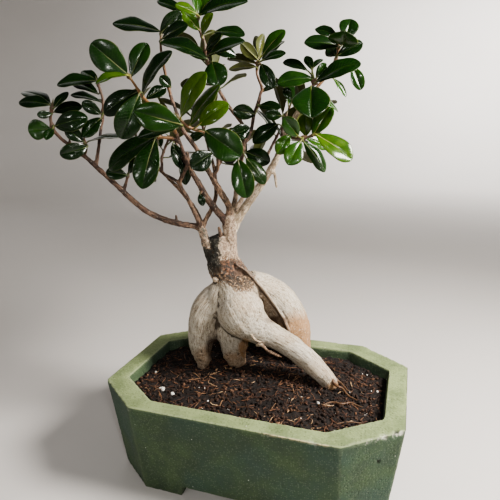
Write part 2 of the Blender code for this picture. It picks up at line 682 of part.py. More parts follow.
class Leaf:
    """One leaf: where its blade starts and ends, its width, and the way its upper side faces."""

    def __init__(self, shoot, stalk, base, tip, width, facing):
        self.shoot = shoot
        self.stalk = stalk
        self.base = base
        self.tip = tip
        self.length = (tip - base).length
        self.width = width
        self.facing = facing
        self.slide = 0.0

    def placed(self):
        """The base, tip and width after the leaf has slid along the line of sight."""
        scale = 1 + self.slide / (self.base - EYE).length
        return EYE + (self.base - EYE) * scale, EYE + (self.tip - EYE) * scale, self.width * scale

    def surface(self):
        """The blade's middle surface and its stalk, as rows of left, middle and right points."""
        base, tip, width = self.placed()
        along = tip - base
        length = along.length
        ahead = along.normalized()
        facing = (self.facing - ahead * self.facing.dot(ahead)).normalized()
        side = ahead.cross(facing)
        rows = [[self.stalk.copy()] * 3]
        rows.append([base + side * STALK_HALF_WIDTH * place for place in (-1, 0, 1)])
        for share, breadth in SMALL_BLADE_ROWS if length < SMALL_LEAF else BLADE_ROWS:
            half = breadth * width / 2
            middle = base + along * share + facing * LEAF_ARCH * length * math.sin(math.pi * share)
            rise = facing * half * LEAF_FOLD
            rows.append([middle - side * half + rise, middle, middle + side * half + rise])
        rows.append([tip] * 3)
        return rows

    def solid(self, thickness):
        rows = self.surface()
        bm = bmesh.new()
        bmesh.ops.create_grid(bm, x_segments=2, y_segments=len(rows) - 1, size=1)
        grid = sorted(bm.verts, key=lambda vert: (round(vert.co.y, 3), round(vert.co.x, 3)))
        for vert, place in zip(grid, [place for row in rows for place in row]):
            vert.co = place
        bmesh.ops.remove_doubles(bm, verts=bm.verts, dist=1e-4)
        bmesh.ops.triangulate(bm, faces=bm.faces)
        bm.normal_update()
        bmesh.ops.solidify(bm, geom=bm.faces[:], thickness=thickness)
        bmesh.ops.recalc_face_normals(bm, faces=bm.faces)
        return bm


def sighted_leaf(shoot, path, row):
    """A leaf from its sighted base and tip and its apparent width."""
    base_right, base_down, tip_right, tip_down, apparent, nearer, lean = row
    base = sighted(base_right, base_down, nearer)
    tip = sighted(tip_right, tip_down, nearer + lean)
    scale = (base - EYE).dot(FORWARD) / REACH
    seen = abs(apparent) * scale
    width = max(seen, (tip - base).length * BLADE_WIDTH_RATIO)
    ahead = (tip - base).normalized()
    to_eye = (EYE - base).normalized()
    to_eye = (to_eye - ahead * to_eye.dot(ahead)).normalized()
    over = ahead.cross(to_eye)
    if over.z < 0:
        over = -over
    turn = math.acos(min(1.0, seen / width))
    facing = to_eye * math.cos(turn) * (1 if apparent > 0 else -1) + over * math.sin(turn)
    return Leaf(shoot, nearest_on_path(path[1:], base), base, tip, width, facing)


def whorl_leaves(shoot, path, count, seed):
    """Leaves set round a stem, each turned by the golden angle from the last and rising towards the tip."""
    draw = random.Random(seed)
    green = along_path(path, woody_length(path) + BARE_FOOT)
    ahead = (green[-1] - green[0]).normalized()
    across = ahead.orthogonal().normalized()
    leaves = []
    for i in range(count):
        share = (i + 0.6) / count
        spot = along_path(green, 0, path_length(green) * share)[-1]
        turn = i * GOLDEN_ANGLE + draw.uniform(-WHORL_WAVER, WHORL_WAVER)
        out = Matrix.Rotation(turn, 3, ahead) @ across
        way = (out + ahead * (WHORL_LIFT + WHORL_TIP_LIFT * share) + AWAY * WHORL_AWAY).normalized()
        length = BACK_LEAF_LENGTH * draw.uniform(0.8, 1.1)
        base = spot + way * BACK_STALK
        facing = ahead + Vector((0, 0, 0.8)) - out * 0.2
        width = length * draw.uniform(0.52, 0.62)
        leaves.append(Leaf(shoot, spot, base, base + way * length, width, facing))
    return leaves


def slide_by(leaf, step):
    leaf.slide = max(-MOST_SLIDE, min(MOST_SLIDE, leaf.slide + step))


def spread_apart(leaves, stems):
    """Slides leaves along the line of sight until none runs through another or through a stem."""
    for _ in range(SLIDE_ROUNDS):
        trees = []
        for leaf in leaves:
            bm = leaf.solid(LEAF_CLEARANCE + BLADE_THICKNESS)
            trees.append(BVHTree.FromBMesh(bm))
            bm.free()
        middles = [(leaf.placed()[0] + leaf.placed()[1]) / 2 for leaf in leaves]
        pushed = False
        for i, leaf in enumerate(leaves):
            for shoot, tree in stems.items():
                if shoot != leaf.shoot and trees[i].overlap(tree):
                    slide_by(leaf, SLIDE_STEP if leaf.slide > 0 else -SLIDE_STEP)
                    pushed = True
            for j in range(i):
                other = leaves[j]
                too_far = (middles[i] - middles[j]).length > LEAF_REACH * (leaf.length + other.length)
                if too_far or not trees[i].overlap(trees[j]):
                    continue
                behind = (middles[i] - EYE).length > (middles[j] - EYE).length
                step = SLIDE_STEP / 2 if behind else -SLIDE_STEP / 2
                slide_by(leaf, step)
                slide_by(other, -step)
                pushed = True
        if not pushed:
            break


def plan_shoots():
    """The path of every shoot's stem and all its leaves."""
    shoots = {}
    for name, shoot in SHOOTS.items():
        path = [sighted(*point) for point in shoot["stem"]]
        leaves = [sighted_leaf(name, path, row) for row in shoot["leaves"]]
        shoots[name] = {"path": path, "leaves": leaves}
    for name, (stem, count, seed) in BACK_SHOOTS.items():
        path = [sighted(*point) for point in stem]
        shoots[name] = {"path": path, "leaves": whorl_leaves(name, path, count, seed)}
    return shoots


def build_shoot(name, shoot, parts, finish):
    stem_path = along_path(shoot["path"], woody_length(shoot["path"]) + CLEAR)
    taper = (SHOOT_TIP_RADIUS - SHOOT_RADIUS) / (len(stem_path) - 1)
    radii = [SHOOT_RADIUS + taper * i for i in range(len(stem_path))]
    stem = tube(name, stem_path, radii, SHOOT_SIDES, parts)
    group = bpy.data.collections.new(name + "_leaves")
    bpy.context.scene.collection.children.link(group)
    bearing = along_path(stem_path, BARE_FOOT, path_length(stem_path) - BARE_TIP)
    for i, leaf in enumerate(shoot["leaves"]):
        spot = nearest_on_path(bearing, leaf.stalk)
        leaf.stalk = spot - (leaf.base - spot).normalized() * STALK_SINK
        new_object(f"{name}_leaf_{i}", leaf.solid(BLADE_THICKNESS), group)
    boolean(stem, "UNION", group=group, solver="MANIFOLD")
    apply_modifiers(stem)
    for made in list(group.objects):
        remove(made)
    bpy.data.collections.remove(group)
    stem.data.materials.clear()
    stem.data.materials.append(finish)
    return stem


def stand_on_origin(parts, cutters):
    """Puts the middle of the whole object's box over the origin, on the surface that the pot stands on."""
    bpy.context.view_layer.update()
    graph = bpy.context.evaluated_depsgraph_get()
    corners = []
    for made in parts.objects:
        mesh = made.evaluated_get(graph).to_mesh()
        corners += [made.matrix_world @ vert.co for vert in mesh.vertices]
    middle_x = (min(c.x for c in corners) + max(c.x for c in corners)) / 2
    middle_y = (min(c.y for c in corners) + max(c.y for c in corners)) / 2
    stand = bpy.data.objects.new("stand_middle", None)
    bpy.context.scene.collection.objects.link(stand)
    for made in [*parts.objects, *cutters.objects]:
        made.parent = stand
    stand.location = (-middle_x, -middle_y, 0)


def main():
    for old in list(bpy.data.objects):
        bpy.data.objects.remove(old)
    parts = bpy.data.collections.new("ginseng_ficus")
    cutters = bpy.data.collections.new("cutters")
    for collection in (parts, cutters):
        bpy.context.scene.collection.children.link(collection)
    shoots = plan_shoots()
    build_pot(parts, cutters)
    wood = build_wood(parts, shoots)
    build_soil(parts, cutters, wood)
    stems = {}
    for name, shoot in shoots.items():
        path = shoot["path"]
        guide = tube(name + "_guide", path, [GUIDE_RADIUS] * len(path), BRANCH_SIDES, cutters)
        bm = bmesh.new()
        bm.from_mesh(guide.data)
        bmesh.ops.scale(bm, vec=(1 / MM, 1 / MM, 1 / MM), verts=bm.verts)
        stems[name] = BVHTree.FromBMesh(bm)
        bm.free()
        remove(guide)
    spread_apart([leaf for shoot in shoots.values() for leaf in shoot["leaves"]], stems)
    finish = material("ficus_leaf", LEAF_COLOUR, 0.3)
    for name, shoot in shoots.items():
        build_shoot(name, shoot, parts, finish)
    stand_on_origin(parts, cutters)


main()
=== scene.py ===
"""The looks of a ginseng ficus in its octagonal concrete pot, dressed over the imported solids.

The plant is laid out as its solids are, from sighted points: how far right and how far down they appear
from the sighting place, and how much nearer than the stump they stand. Its other sizes and those of the
pot and the soil are in millimetres, in the pot's own frame. A finished piece is brought to metres and to
where the pot stands. The floor and the lamps are in metres.
"""

import math
import random

import bmesh
import bpy
import numpy as np
from mathutils import Matrix, Vector, noise
from mathutils.bvhtree import BVHTree


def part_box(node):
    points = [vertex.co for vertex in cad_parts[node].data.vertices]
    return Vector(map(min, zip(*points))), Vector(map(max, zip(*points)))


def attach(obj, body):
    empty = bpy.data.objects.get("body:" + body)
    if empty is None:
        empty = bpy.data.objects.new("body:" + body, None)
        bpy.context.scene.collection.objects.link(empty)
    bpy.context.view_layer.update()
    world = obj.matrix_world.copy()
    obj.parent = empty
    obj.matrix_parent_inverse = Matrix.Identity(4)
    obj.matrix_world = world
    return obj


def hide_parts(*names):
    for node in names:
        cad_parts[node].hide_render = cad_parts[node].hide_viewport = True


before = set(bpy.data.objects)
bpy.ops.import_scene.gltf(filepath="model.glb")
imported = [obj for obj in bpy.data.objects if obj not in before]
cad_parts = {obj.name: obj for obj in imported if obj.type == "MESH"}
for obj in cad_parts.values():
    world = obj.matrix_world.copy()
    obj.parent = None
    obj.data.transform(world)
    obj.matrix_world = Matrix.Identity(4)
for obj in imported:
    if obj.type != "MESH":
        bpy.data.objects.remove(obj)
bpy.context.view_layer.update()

MM = 0.001

# The pot
POT_LENGTH = 240.0
POT_WIDTH = 154.0
POT_HEIGHT = 79.5
CORNER_ALONG = 40.0
CORNER_ACROSS = 30.6
BASE_INSET = 10.8
BASE_CORNER_ALONG = 31.2
BASE_CORNER_ACROSS = 22.6
WALL = 15.2
FLOOR_TOP = 24.0
CAVITY_CORNER_ALONG = 36.2
CAVITY_CORNER_ACROSS = 26.3
CAVITY_INSET = 8.0
FOOT_SLOT_HEIGHT = 8.6
SLOT_ALONG = 88.0
SLOT_ACROSS = 60.0
DRAIN_RADIUS = 6.0
DRAIN_SPACING = 90.0

# The soil
SOIL_LEVEL = 70.5
SOIL_CROWN = 3.0
CROWN_X, CROWN_Y = -10.0, 20.0
CROWN_SPREAD = 60.0
LUMPS = ((1.6, 16.0), (0.8, 7.0))

# Where the plant is sighted from, in the pot's frame
EYE = Vector((113.2, -341.2, 281.3))
TURN = math.radians(19.14)
LOOK_DOWN = math.radians(14.55)
TILT = math.radians(-1.47)
REACH = 468.0
VIEW_CENTRE = 250.0
STUMP_X, STUMP_Y = -30.0, 20.0

# Leaves and young stems, as in the solids
BLADE_THICKNESS = 0.8
BLADE_WIDTH_RATIO = 0.55
LEAF_CLEARANCE = 1.4
LEAF_REACH = 0.75
STALK_HALF_WIDTH = 0.75
LEAF_FOLD = 0.16
LEAF_ARCH = 0.07
SOLID_ROWS = ((0.30, 0.80), (0.62, 1.0), (0.88, 0.66))
SMALL_SOLID_ROWS = ((0.34, 0.92), (0.76, 0.90))
SMALL_LEAF = 31.0
WOODY_LENGTH = 8.0
WOODY_SHARE = 0.45
BARE_FOOT = 2.0
BARE_TIP = 1.0
MOST_SLIDE = 16.0
SLIDE_STEP = 1.0
SLIDE_ROUNDS = 70
GUIDE_RADIUS = 2.0
GUIDE_SIDES = 6
CLEAR = 0.3

# Swollen roots and the stump: right, down, nearer, radius
SWOLLEN = {
    "stump": (
        (217, 236, 0, 9.5), (220, 244, 0, 11.5), (222, 254, 0, 13.2), (224, 265, 0, 14.6),
        (231.5, 277, 0, 15.8), (238.5, 291, 0, 18.2), (242, 305, -4, 17.0),
    ),
    "left_leg": (
        (225, 291, 2, 12.6), (213.5, 301, 4, 13.2), (205.5, 313, 5, 13.6), (203, 328, 5, 13.4),
        (202.5, 343, 5, 12.2), (203, 356, 4, 8.6), (202.5, 367, 3, 4.2), (203, 380, 3, 3.0),
    ),
    "middle_leg": (
        (232, 315, 6, 13.0), (231, 329, 3, 14.8), (233.5, 342, 1, 13.4), (235, 354, 0, 10.2),
        (237, 363, 0, 7.4), (238.5, 377, 0, 4.4),
    ),
    "front_bulb": (
        (236, 295, 8, 15.5), (240, 309, 13, 20.4), (245, 317, 15, 19.6), (253, 325, 16, 15.6),
        (262, 331, 17, 12.4),
    ),
    "right_leg": (
        (257, 327, 16.5, 12.0), (275, 337, 20, 10.0), (290, 346, 25, 9.5), (305, 357.5, 30, 9.2),
        (318, 369.5, 34, 8.4), (328, 381, 37, 7.5), (332, 389, 38, 6.2), (336, 401, 39, 4.4),
    ),
    "back_root": (
        (247, 281.5, -4, 10.8), (263, 289, -11, 14.4), (277, 301, -15, 17.2), (286, 315, -15, 18.0),
        (292.5, 329, -11, 16.6), (297, 342, -6, 13.0), (300, 355, -3, 9.4), (301, 368, -2, 6.6),
    ),
    "hind_root": (
        (236, 292, -6, 15.0), (230, 306, -16, 15.5), (229, 322, -22, 13.0), (231, 338, -26, 9.6),
        (233, 352, -28, 6.5), (233, 364, -28, 4.6),
    ),
    "shoulder": ((222, 288, 6, 10.0), (218.5, 297, 8.5, 10.2), (216.5, 306, 9, 9.8)),
    "neck": ((226, 280, 4, 11.6), (231.5, 289, 8, 13.4), (236, 299, 11.5, 16.4), (240, 309, 13, 18.5)),
    "core": ((230, 300, 2, 16.0), (224, 315, 2, 13.5), (226, 330, -4, 11.0), (228, 342, -8, 8.0)),
    "ridge": (
        (236, 264.5, 11, 2.7), (245, 270, 9.6, 2.5), (252, 277, 6.4, 2.4), (263.5, 290, 2.8, 2.2),
        (274, 304, 1.6, 2.1), (282.5, 317.5, 2.3, 2.0), (288.5, 330, 4.8, 1.9),
    ),
    "graft_a": ((212, 258, 4, 5.5), (207.5, 247, 5, 4.4), (204.5, 238, 5, 3.8), (201.5, 228, 5, 3.7)),
    "graft_b": ((228, 256, 3, 8.5), (229.5, 243, 2, 6.6), (229.3, 230, 2, 6.1), (229.3, 219, 2, 5.6)),
    "graft_web": ((219, 263, 3, 12.0), (223, 250, 3, 9.5), (225, 241, 2.5, 6.8), (226.5, 235, 2.5, 4.8)),
}

# Thin strands that hang from the swollen roots: right, down, nearer, radius
ROOT_STRANDS = (
    ((250, 332, 29, 1.2), (253, 337, 32, 1.1), (257, 341, 33, 1.0), (262.5, 342.5, 33, 0.7)),
    (
        (257, 345, 26, 1.5), (263, 346, 30, 1.3), (268, 351, 31, 1.2), (273, 353.5, 31, 1.4),
        (281, 357, 31, 0.8),
    ),
)

# Rootlets that lie on the soil: right, down, height, radius
SURFACE_ROOTS = (
    (
        (331, 379, 79, 1.9), (337, 386, 76, 1.2), (343, 389, 74.6, 0.9), (348, 395.5, 73.4, 0.8),
        (357, 400, 72.6, 0.4),
    ),
    ((333, 376, 79, 1.1), (341, 383, 75, 0.7), (347, 390, 73.6, 0.6), (352, 392, 72.8, 0.3)),
    (
        (322, 405, 72.2, 0.5), (333, 402, 72.8, 0.7), (341, 404, 72.8, 0.7), (351, 403, 72.6, 0.8),
        (362, 407, 72.2, 0.4),
    ),
    ((336, 424, 72.2, 0.4), (348, 422, 72.6, 0.6), (362, 423, 72.2, 0.4)),
)

# Spots where the pot is worn and the roots are marked: right, down, half width, half height, soft edge
SPOTS = {
    "worn_lip": (296, 440, 36, 10, 0.3), "worn_corner": (380, 436, 32, 12, 0.3),
    "upper_pit": (397, 432, 1.6, 1.8, 0.8), "lower_pit": (378.5, 462, 1.1, 1.1, 0.8),
    "graft": (230, 271, 15, 8, 1.1), "graft_side": (243, 283, 9, 6, 1.1),
    "graft_red": (233, 266, 8, 7, 1.2),
    "left_knobs": (206, 360, 14, 9, 0.5), "middle_knobs": (236, 360, 16, 7, 0.5),
    "fork_dent": (214, 349, 4, 6, 0.8),
    "back_tan": (302, 336, 18, 16, 0.8), "end_tan": (338, 390, 9, 7, 0.5),
    "left_tan": (206, 364, 12, 14, 0.5), "fork_tan": (245, 348, 5, 7, 0.5),
    "middle_tan": (234, 362, 14, 7, 0.5),
    # where shade is painted: the face left of the cord, the fork's hollow and the graft's slot; a dark
    # streak on the back root
    "back_shade": (264, 302, 28, 32, 0.2),
    "fork_dirt": (213, 347, 5, 10, 0.8), "graft_dirt": (240, 272.5, 5, 2, 0.8),
    "back_dirt": (276, 320, 8, 2.5, 0.8),
}

# How far down the bare wood, the left graft's wood, the stump's bark and the cord reach, and how far right
# the bark ends and the darker strands begin
WOOD_END = 270
LEFT_WOOD_END = 252
BARK_END = 276
BARK_SIDE = 222
CORD_TOP, CORD_END = 263, 332
DARKER_STRANDS = 263
SAW_CUT = (215, 237, 0)

# The larger white bits on the soil: right, down, size
PERLITE_SPOTS = (
    (155.4, 370.7, 1.5), (162.7, 389.5, 2.2), (160.5, 387.8, 1.5), (172.6, 393, 1.7), (199, 388.4, 0.7),
    (204.6, 388.8, 1.0), (208, 401, 0.9), (301.5, 397.5, 0.9), (318.3, 402.5, 1.4), (377.5, 391.6, 1.1),
)

# Branches: how thick the fine branch is beside the solid's, how pale its bark is at its foot and at its
# end, from 0 for dark red-brown to 1 for beige, and its points: right, down, nearer, radius
BRANCHES = {
    "branch_left": (0.82, 0.25, 0.0, (
        (202, 231, 5, 3.2), (196, 226.5, 5, 3.0), (183, 224.5, 6, 2.9), (169, 221, 7, 2.9),
        (151.5, 214, 9, 2.8), (137, 204, 11, 2.7), (118, 186.5, 12, 2.5), (102, 172, 12, 2.3),
        (89, 160, 12, 2.1), (80, 153, 13, 2.0), (64, 141, 14, 1.7), (57, 135, 15, 1.5),
    )),
    "branch_left_side": (0.82, 0.05, 0.0, (
        (96, 166.5, 12, 1.8), (99.6, 140, 8, 1.5), (102, 121, 4, 1.3),
    )),
    "branch_a2": (0.78, 0.35, 0.05, (
        (200.5, 230, 5, 3.1), (198, 220, 7, 2.7), (188, 199, 12, 2.3), (180, 183, 18, 2.1),
        (187, 165, 23, 1.7), (182, 148, 27, 1.6), (178, 138, 29, 1.4),
    )),
    "branch_a2_left": (0.8, 0.15, 0.05, (
        (181, 185, 17.5, 1.8), (175, 180, 20, 1.6), (166, 175, 23, 1.5),
    )),
    "branch_a3": (0.85, 0.45, 0.15, (
        (202, 229, 5, 3.0), (205, 221, 4, 2.4), (211, 210, 0, 2.1), (215, 200, -6, 2.0),
        (216, 190, -14, 1.9), (214, 168, -34, 1.7), (208, 146, -50, 1.5),
    )),
    "branch_b1": (1, 0.02, 0.35, (
        (228, 226, 3, 4.0), (223, 218, 4, 3.0), (209, 201, 8, 2.7), (198, 182, 13, 2.3),
        (191, 170, 16, 1.9), (187, 153, 20, 1.5),
    )),
    "branch_b2": (0.86, 0.55, 0.1, (
        (229.5, 221, 2, 4.2), (229, 207, 3, 3.2), (220, 191, 8, 2.9), (210.5, 175, 13, 2.4),
        (202, 159, 17, 2.2), (196, 148, 19, 2.1), (188, 137, 22, 2.0), (182, 128, 23, 1.8),
        (176, 111, 20, 1.5), (172, 100, 17, 1.4),
    )),
    "branch_b2_right": (0.85, 0.3, 0.2, (
        (212, 178, 12.5, 2.0), (218, 166, 12, 1.8), (217, 148, 12, 1.5),
    )),
    "branch_b3": (0.88, 0.8, 0.05, (
        (231, 221, 2, 3.8), (233, 209, -2, 2.8), (236, 195, -8, 2.5), (239, 172, -14, 2.3),
        (243, 150, -18, 2.1), (244, 128, -20, 1.9), (230, 108, -20, 1.7), (220, 92, -18, 1.6),
        (212, 70, -15, 1.5), (207.5, 55, -13, 1.3),
    )),
    "branch_v": (0.9, 0.1, 0.05, (
        (243.5, 146, -18.5, 2.0), (251, 130, -22, 1.7), (254, 115, -26, 1.6), (260, 97, -30, 1.4),
    )),
    "branch_b4": (1.12, 1.0, 0.95, (
        (231.5, 231, 1, 4.2), (236, 222, 0, 3.5), (246, 206, 2, 3.1), (260, 186, 6, 2.8),
        (271, 169, 8, 2.5), (278, 155, 10, 2.2), (283, 140, 12, 2.0), (293, 120, 16, 1.7),
        (300, 109, 18, 1.6), (308, 96, 19, 1.4),
    )),
    "branch_back_right": (0.85, 0.7, 0.4, (
        (233, 214, -3, 2.9), (244, 196, -22, 2.2), (258, 172, -42, 1.9), (270, 150, -56, 1.6),
    )),
    "branch_back_left": (0.85, 0.5, 0.4, (
        (201.5, 224, 3, 2.6), (194, 208, -12, 2.2), (180, 190, -30, 1.9), (160, 170, -46, 1.7),
        (142, 152, -56, 1.5),
    )),
    "stub_left": (0.75, 0.2, 0.3, ((177, 223, 6.5, 1.5), (176, 215.5, 6.5, 1.2))),
    "stub_far_left": (0.8, 0.2, 0.3, ((71, 146, 13.5, 1.4), (69.5, 139.5, 13.5, 1.0))),
    "stub_graft": (1, 0.3, 0.4, ((222, 240, 6, 2.0), (219, 228, 7, 1.3))),
    "hanging_root": (1, 0.9, 0.9, ((272, 165, 8, 1.3), (275, 176, 8, 1.2), (276.5, 187, 8, 1.0))),
    "stub_trunk": (1, 0.6, 0.9, ((221, 278.5, 9, 3.0), (215, 279.5, 12.5, 2.4))),
}

# Leafy shoots: the stem, then the leaves. A stem runs through right, down, nearer points from inside the
# twig that bears it. A leaf is base right, base down, tip right, tip down, width across the view, nearer,
# lean of the tip towards the viewer and tone, from 0 for the darkest green to 1 for lime. A width below
# nought shows the underside.
SHOOTS = {
    "shoot_far_left": (
        ((60, 137.6, 14.5), (54, 131, 15), (50.5, 119, 16), (52, 107, 17)),
        (
            (50, 105, 19, 102, 13, 17, -4, 0.05), (50, 103, 23, 92, 11, 10, -12, 0.05),
            (54, 108, 68, 92, 8, 14, -8, 0.12), (52, 114, 37, 115, 8, 20, 6, 0.08),
            (51, 129, 28, 130, 20, 22, 4, 0.45), (53, 128, 46, 140, 9, 24, 10, 0.3),
            (55, 126, 88, 118, 20, 22, 6, 0.25), (54, 112, 82, 106, 12, 8, -8, 0.1),
        ),
    ),
    "shoot_left_low": (
        ((84, 156, 12.5), (86, 149, 14), (85, 143, 16)),
        (
            (84, 142, 65, 127, 14, 20, 4, 0.1), (87, 147, 60, 155, 16, 26, 10, 0.15),
            (89, 141, 126, 138, 5, 14, 4, 0.15),
        ),
    ),
    "shoot_left_high": (
        ((101.7, 124, 4.5), (103, 113, 2), (103, 100, 0), (98, 84, -2)),
        (
            (103, 103, 70.5, 95, 7, 2, 6, 0.08), (101, 114, 82, 102, 12, 6, 4, 0.12),
            (97, 81, 57, 85, 12, -4, 2, 0.22), (98, 94, 74, 83, 11, -8, -8, 0.1),
            (101, 118, 83, 137, 14, 14, 8, 0.25), (98, 82, 82, 71, 10, -6, -8, 0.2),
        ),
    ),
    "shoot_top_left": (
        (
            (179, 141, 28.5), (177, 135, 30), (173, 128, 33), (165, 120, 35), (150, 104, 30),
            (143, 97, 28), (133, 82, 24), (128, 75, 23),
        ),
        (
            (127, 74, 91, 43, 29, 24, 4, 0.3), (131, 77, 147, 43, 18, 22, -4, 0.3),
            (127, 75, 95.5, 84, 7, 28, 4, 0.85), (128, 76, 100, 68, 7, 18, -6, 0.1),
            (142, 95, 172, 51, 12, 24, 2, 0.2), (146, 99, 166, 88, 12, 16, -8, 0.08),
            (139, 94, 121, 139, 27, 34, 4, 0.25), (139, 91, 104, 114, 20, 26, -2, 0.12),
            (182, 125, 134, 111, 28, 57, 4, 0.45), (177, 128, 138, 137, 13, 46, 2, 0.25),
        ),
    ),
    "shoot_centre_bright": (
        (
            (217.3, 150, 12), (212, 139, 20), (204, 132, 27), (195, 129.5, 30), (187, 126, 32),
            (180, 119, 33),
        ),
        (
            (181, 117, 206, 72, 18, 40, 6, 0.86), (190, 125, 220, 85, 14, 35, 4, 0.68),
            (199, 125, 229, 104, 18, 40, 6, 0.88), (205, 131, 241, 156, 31, 44, 10, 0.4),
            (204, 134, 189, 139, 9, 14, -4, 0.3),
        ),
    ),
    "shoot_red": (
        ((173, 104, 18), (171, 97, 16), (165, 72, 8), (161, 50, 2), (161, 33, -2)),
        (
            (161, 32, 112.5, 23.5, 13, -2, 2, 0.05), (161, 33, 181, 12, 16, -2, 6, 0.3),
            (162, 39, 188, 25, 12, 4, 6, 0.15), (171, 87, 160, 76, 11, 14, 4, 0.25),
        ),
    ),
    "shoot_left_hanging": (
        ((180.5, 143.5, 27.7), (172, 138, 30), (164, 137.5, 33), (157, 136.5, 34)),
        (
            (157, 136, 109, 169, 20, 31, 0, 0.28), (155, 139, 142, 189, 26, 35, 8, 0.38),
            (157, 150, 155, 182, 9, 30, -4, 0.1), (148, 130, 139, 117, 9, 28, -6, 0.12),
        ),
    ),
    "shoot_centre_dark": (
        ((187, 164, 23), (181, 155, 13), (176, 143, 11), (172, 139, 11)),
        ((172.5, 144, 183, 169, 14, 12, 2, 0.12), (180, 158, 186, 185, 12, 4, -2, 0.15)),
    ),
    "shoot_centre_low": (
        ((217.5, 161, 12), (220, 151, 15), (224, 139, 18)),
        ((213, 152, 191, 168, 21, 26, 6, 0.04), (225, 139, 250, 128, 16, 10, -8, 0.3)),
    ),
    "shoot_middle": (
        ((241.5, 160, -16), (244, 152, -4), (243, 151, 6), (242, 150, 12)),
        (
            (238, 160, 247, 198, 23, 22, 6, 0.4), (246, 152, 270, 162, 18, 16, 2, 0.2),
            (246, 158, 265, 184, 14, 19, 2, 0.5), (240, 148, 224, 162, 14, 4, -8, 0.15),
        ),
    ),
    "shoot_inner_right": (
        ((280.5, 148, 11), (282, 137, 6), (283, 126, 2), (286, 116, -4)),
        ((278, 124, 253, 143, 16, 8, 4, 0.08), (282, 116, 265, 113, 12, -4, 0, 0.35)),
    ),
    "shoot_inner_top": (
        ((254.3, 114, -26.2), (257, 108, -21), (259, 103, -17)),
        ((258, 106, 281, 108, 10, -14, 6, 0.15), (255, 114, 233, 110, 15, -18, 6, 0.2)),
    ),
    "shoot_v": (
        ((258.5, 101, -29), (262, 88, -31), (257, 74, -33), (258, 62, -35)),
        (
            (258, 60, 241, 43, -13, -36, 4, 0.6), (258, 59, 255, 36, -9, -40, -4, 0.65),
            (260, 59, 264, 34, -8, -34, -6, 0.6), (262, 56, 285, 30, 13, -30, 2, 0.6),
            (262, 60, 284, 41, 8, -38, -8, 0.2), (262, 61, 286, 53, 8, -30, 4, 0.25),
            (257, 64, 227, 59, -8, -34, 4, 0.55), (256, 67, 229, 69, -8, -28, 8, 0.6),
            (261, 64, 273, 88, 15, -24, 6, 0.15), (262, 92, 281, 84, 6, -32, -4, 0.1),
        ),
    ),
    "shoot_right": (
        ((302.5, 105, 18.3), (306, 98, 26), (311, 90, 27), (315, 81, 25)),
        (
            (311, 86, 311, 118, 38, 36, 18, 0.4), (313, 79, 277, 84, 15, 24, 4, 0.35),
            (292, 100, 284, 88, 9, 22, -2, 0.3), (316, 82, 361, 63, 16, 30, 6, 0.35),
            (333, 78, 346, 97, 6, 20, 2, 0.6), (312, 70, 306, 56, 9, 12, -6, 0.3),
            (308, 71, 283, 62, 9, 12, -4, 0.1), (312, 91, 338, 112, 5, 28, 0, 0.7),
            (316, 78, 326, 63, 10, 26, 0, 0.5), (313, 68, 322, 59, 6, 8, -6, 0.4),
        ),
    ),
    "shoot_right_top": (
        ((307, 97.5, 19), (320, 84, 14), (330, 71, 12), (337, 56, 10), (339, 44, 8)),
        (
            (342, 45, 345, 31, 30, 14, 20, 0.55), (345, 40, 351, 19, 20, 8, -6, 0.3),
            (339, 46, 304, 43, 14, 14, 4, 0.15), (338, 37, 315, 29, 10, 4, -6, 0.12),
            (337, 56, 363, 43, 14, 16, 4, 0.25), (352, 66, 361, 90, 13, 20, 2, 0.5),
            (336, 56, 327, 47, 13, 14, 0, 0.2),
        ),
    ),
    "shoot_right_low": (
        ((285, 136, 13), (294, 138, 17), (303, 138, 21), (314, 135, 24)),
        (
            (315, 134, 352, 160, 20, 32, 6, 0.72), (313, 136, 332, 107, 17, 22, -4, 0.75),
            (303, 141, 325, 172, 14, 26, 2, 0.55), (301, 141, 288, 165, 20, 30, 8, 0.58),
            (290, 135, 277, 154, 16, 24, 4, 0.65), (305, 138, 327, 148, 12, 16, -8, 0.7),
            (298, 136, 284, 117, 16, 28, 8, 0.6), (306, 136, 305, 114, 16, 18, -4, 0.7),
        ),
    ),
    "shoot_top_middle": (
        ((215, 79, -16.2), (209, 66, -9), (206, 56, -7), (205, 48, -6)),
        (
            (212, 62, 219, 86, 25, -4, 6, 0.35), (206, 50, 222, 33, 9, -4, 6, 0.1),
            (208, 56, 245, 41, 12, -8, 4, 0.2), (207, 59, 160, 43, 14, -6, 6, 0.08),
            (207, 60, 189, 48, 12, -16, -6, 0.45), (206, 50, 236, 56, 12, -20, -8, 0.12),
        ),
    ),
    "shoot_top": (
        ((208.5, 58, -13.4), (205, 44, -14), (199, 28, -13), (197, 17, -12)),
        (
            (199, 30, 182, 10, 13, -12, 2, 0.75), (197, 14, 175, 5, 9, -8, 4, 0.7),
            (197, 18, 194, -8, 10, -14, -6, 0.6), (198, 16, 248, 1, 15, -12, 4, 0.2),
            (202, 36, 213, 13, 9, -4, 6, 0.85), (214, 32, 245, 35, 11, -18, 2, 0.15),
            (182, 12, 157, 1, 10, -16, -4, 0.15), (197, 17, 216, -6, 11, -18, -4, 0.7),
        ),
    ),
    "shoot_left_inner": (
        ((123.5, 191.5, 11.5), (126, 183, 12), (128, 175, 14)),
        ((127, 175, 106, 172, 13, 20, 2, 0.1), (128, 174, 141, 157, 11, 20, -2, 0.12)),
    ),
    "shoot_b1_side": (
        ((203, 191, 10.5), (201, 192, 16), (200.5, 193, 20)),
        ((200, 193, 203, 206, 8, 23, 2, 0.08),),
    ),
}

# How pale and warm a young stem is, from 0 to 1
STEM_TINTS = {
    "shoot_red": 0.25, "shoot_top_left": 0.6, "shoot_centre_bright": 0.4, "shoot_left_hanging": 0.6,
    "shoot_right_top": 0.4, "shoot_v": 0.3,
}

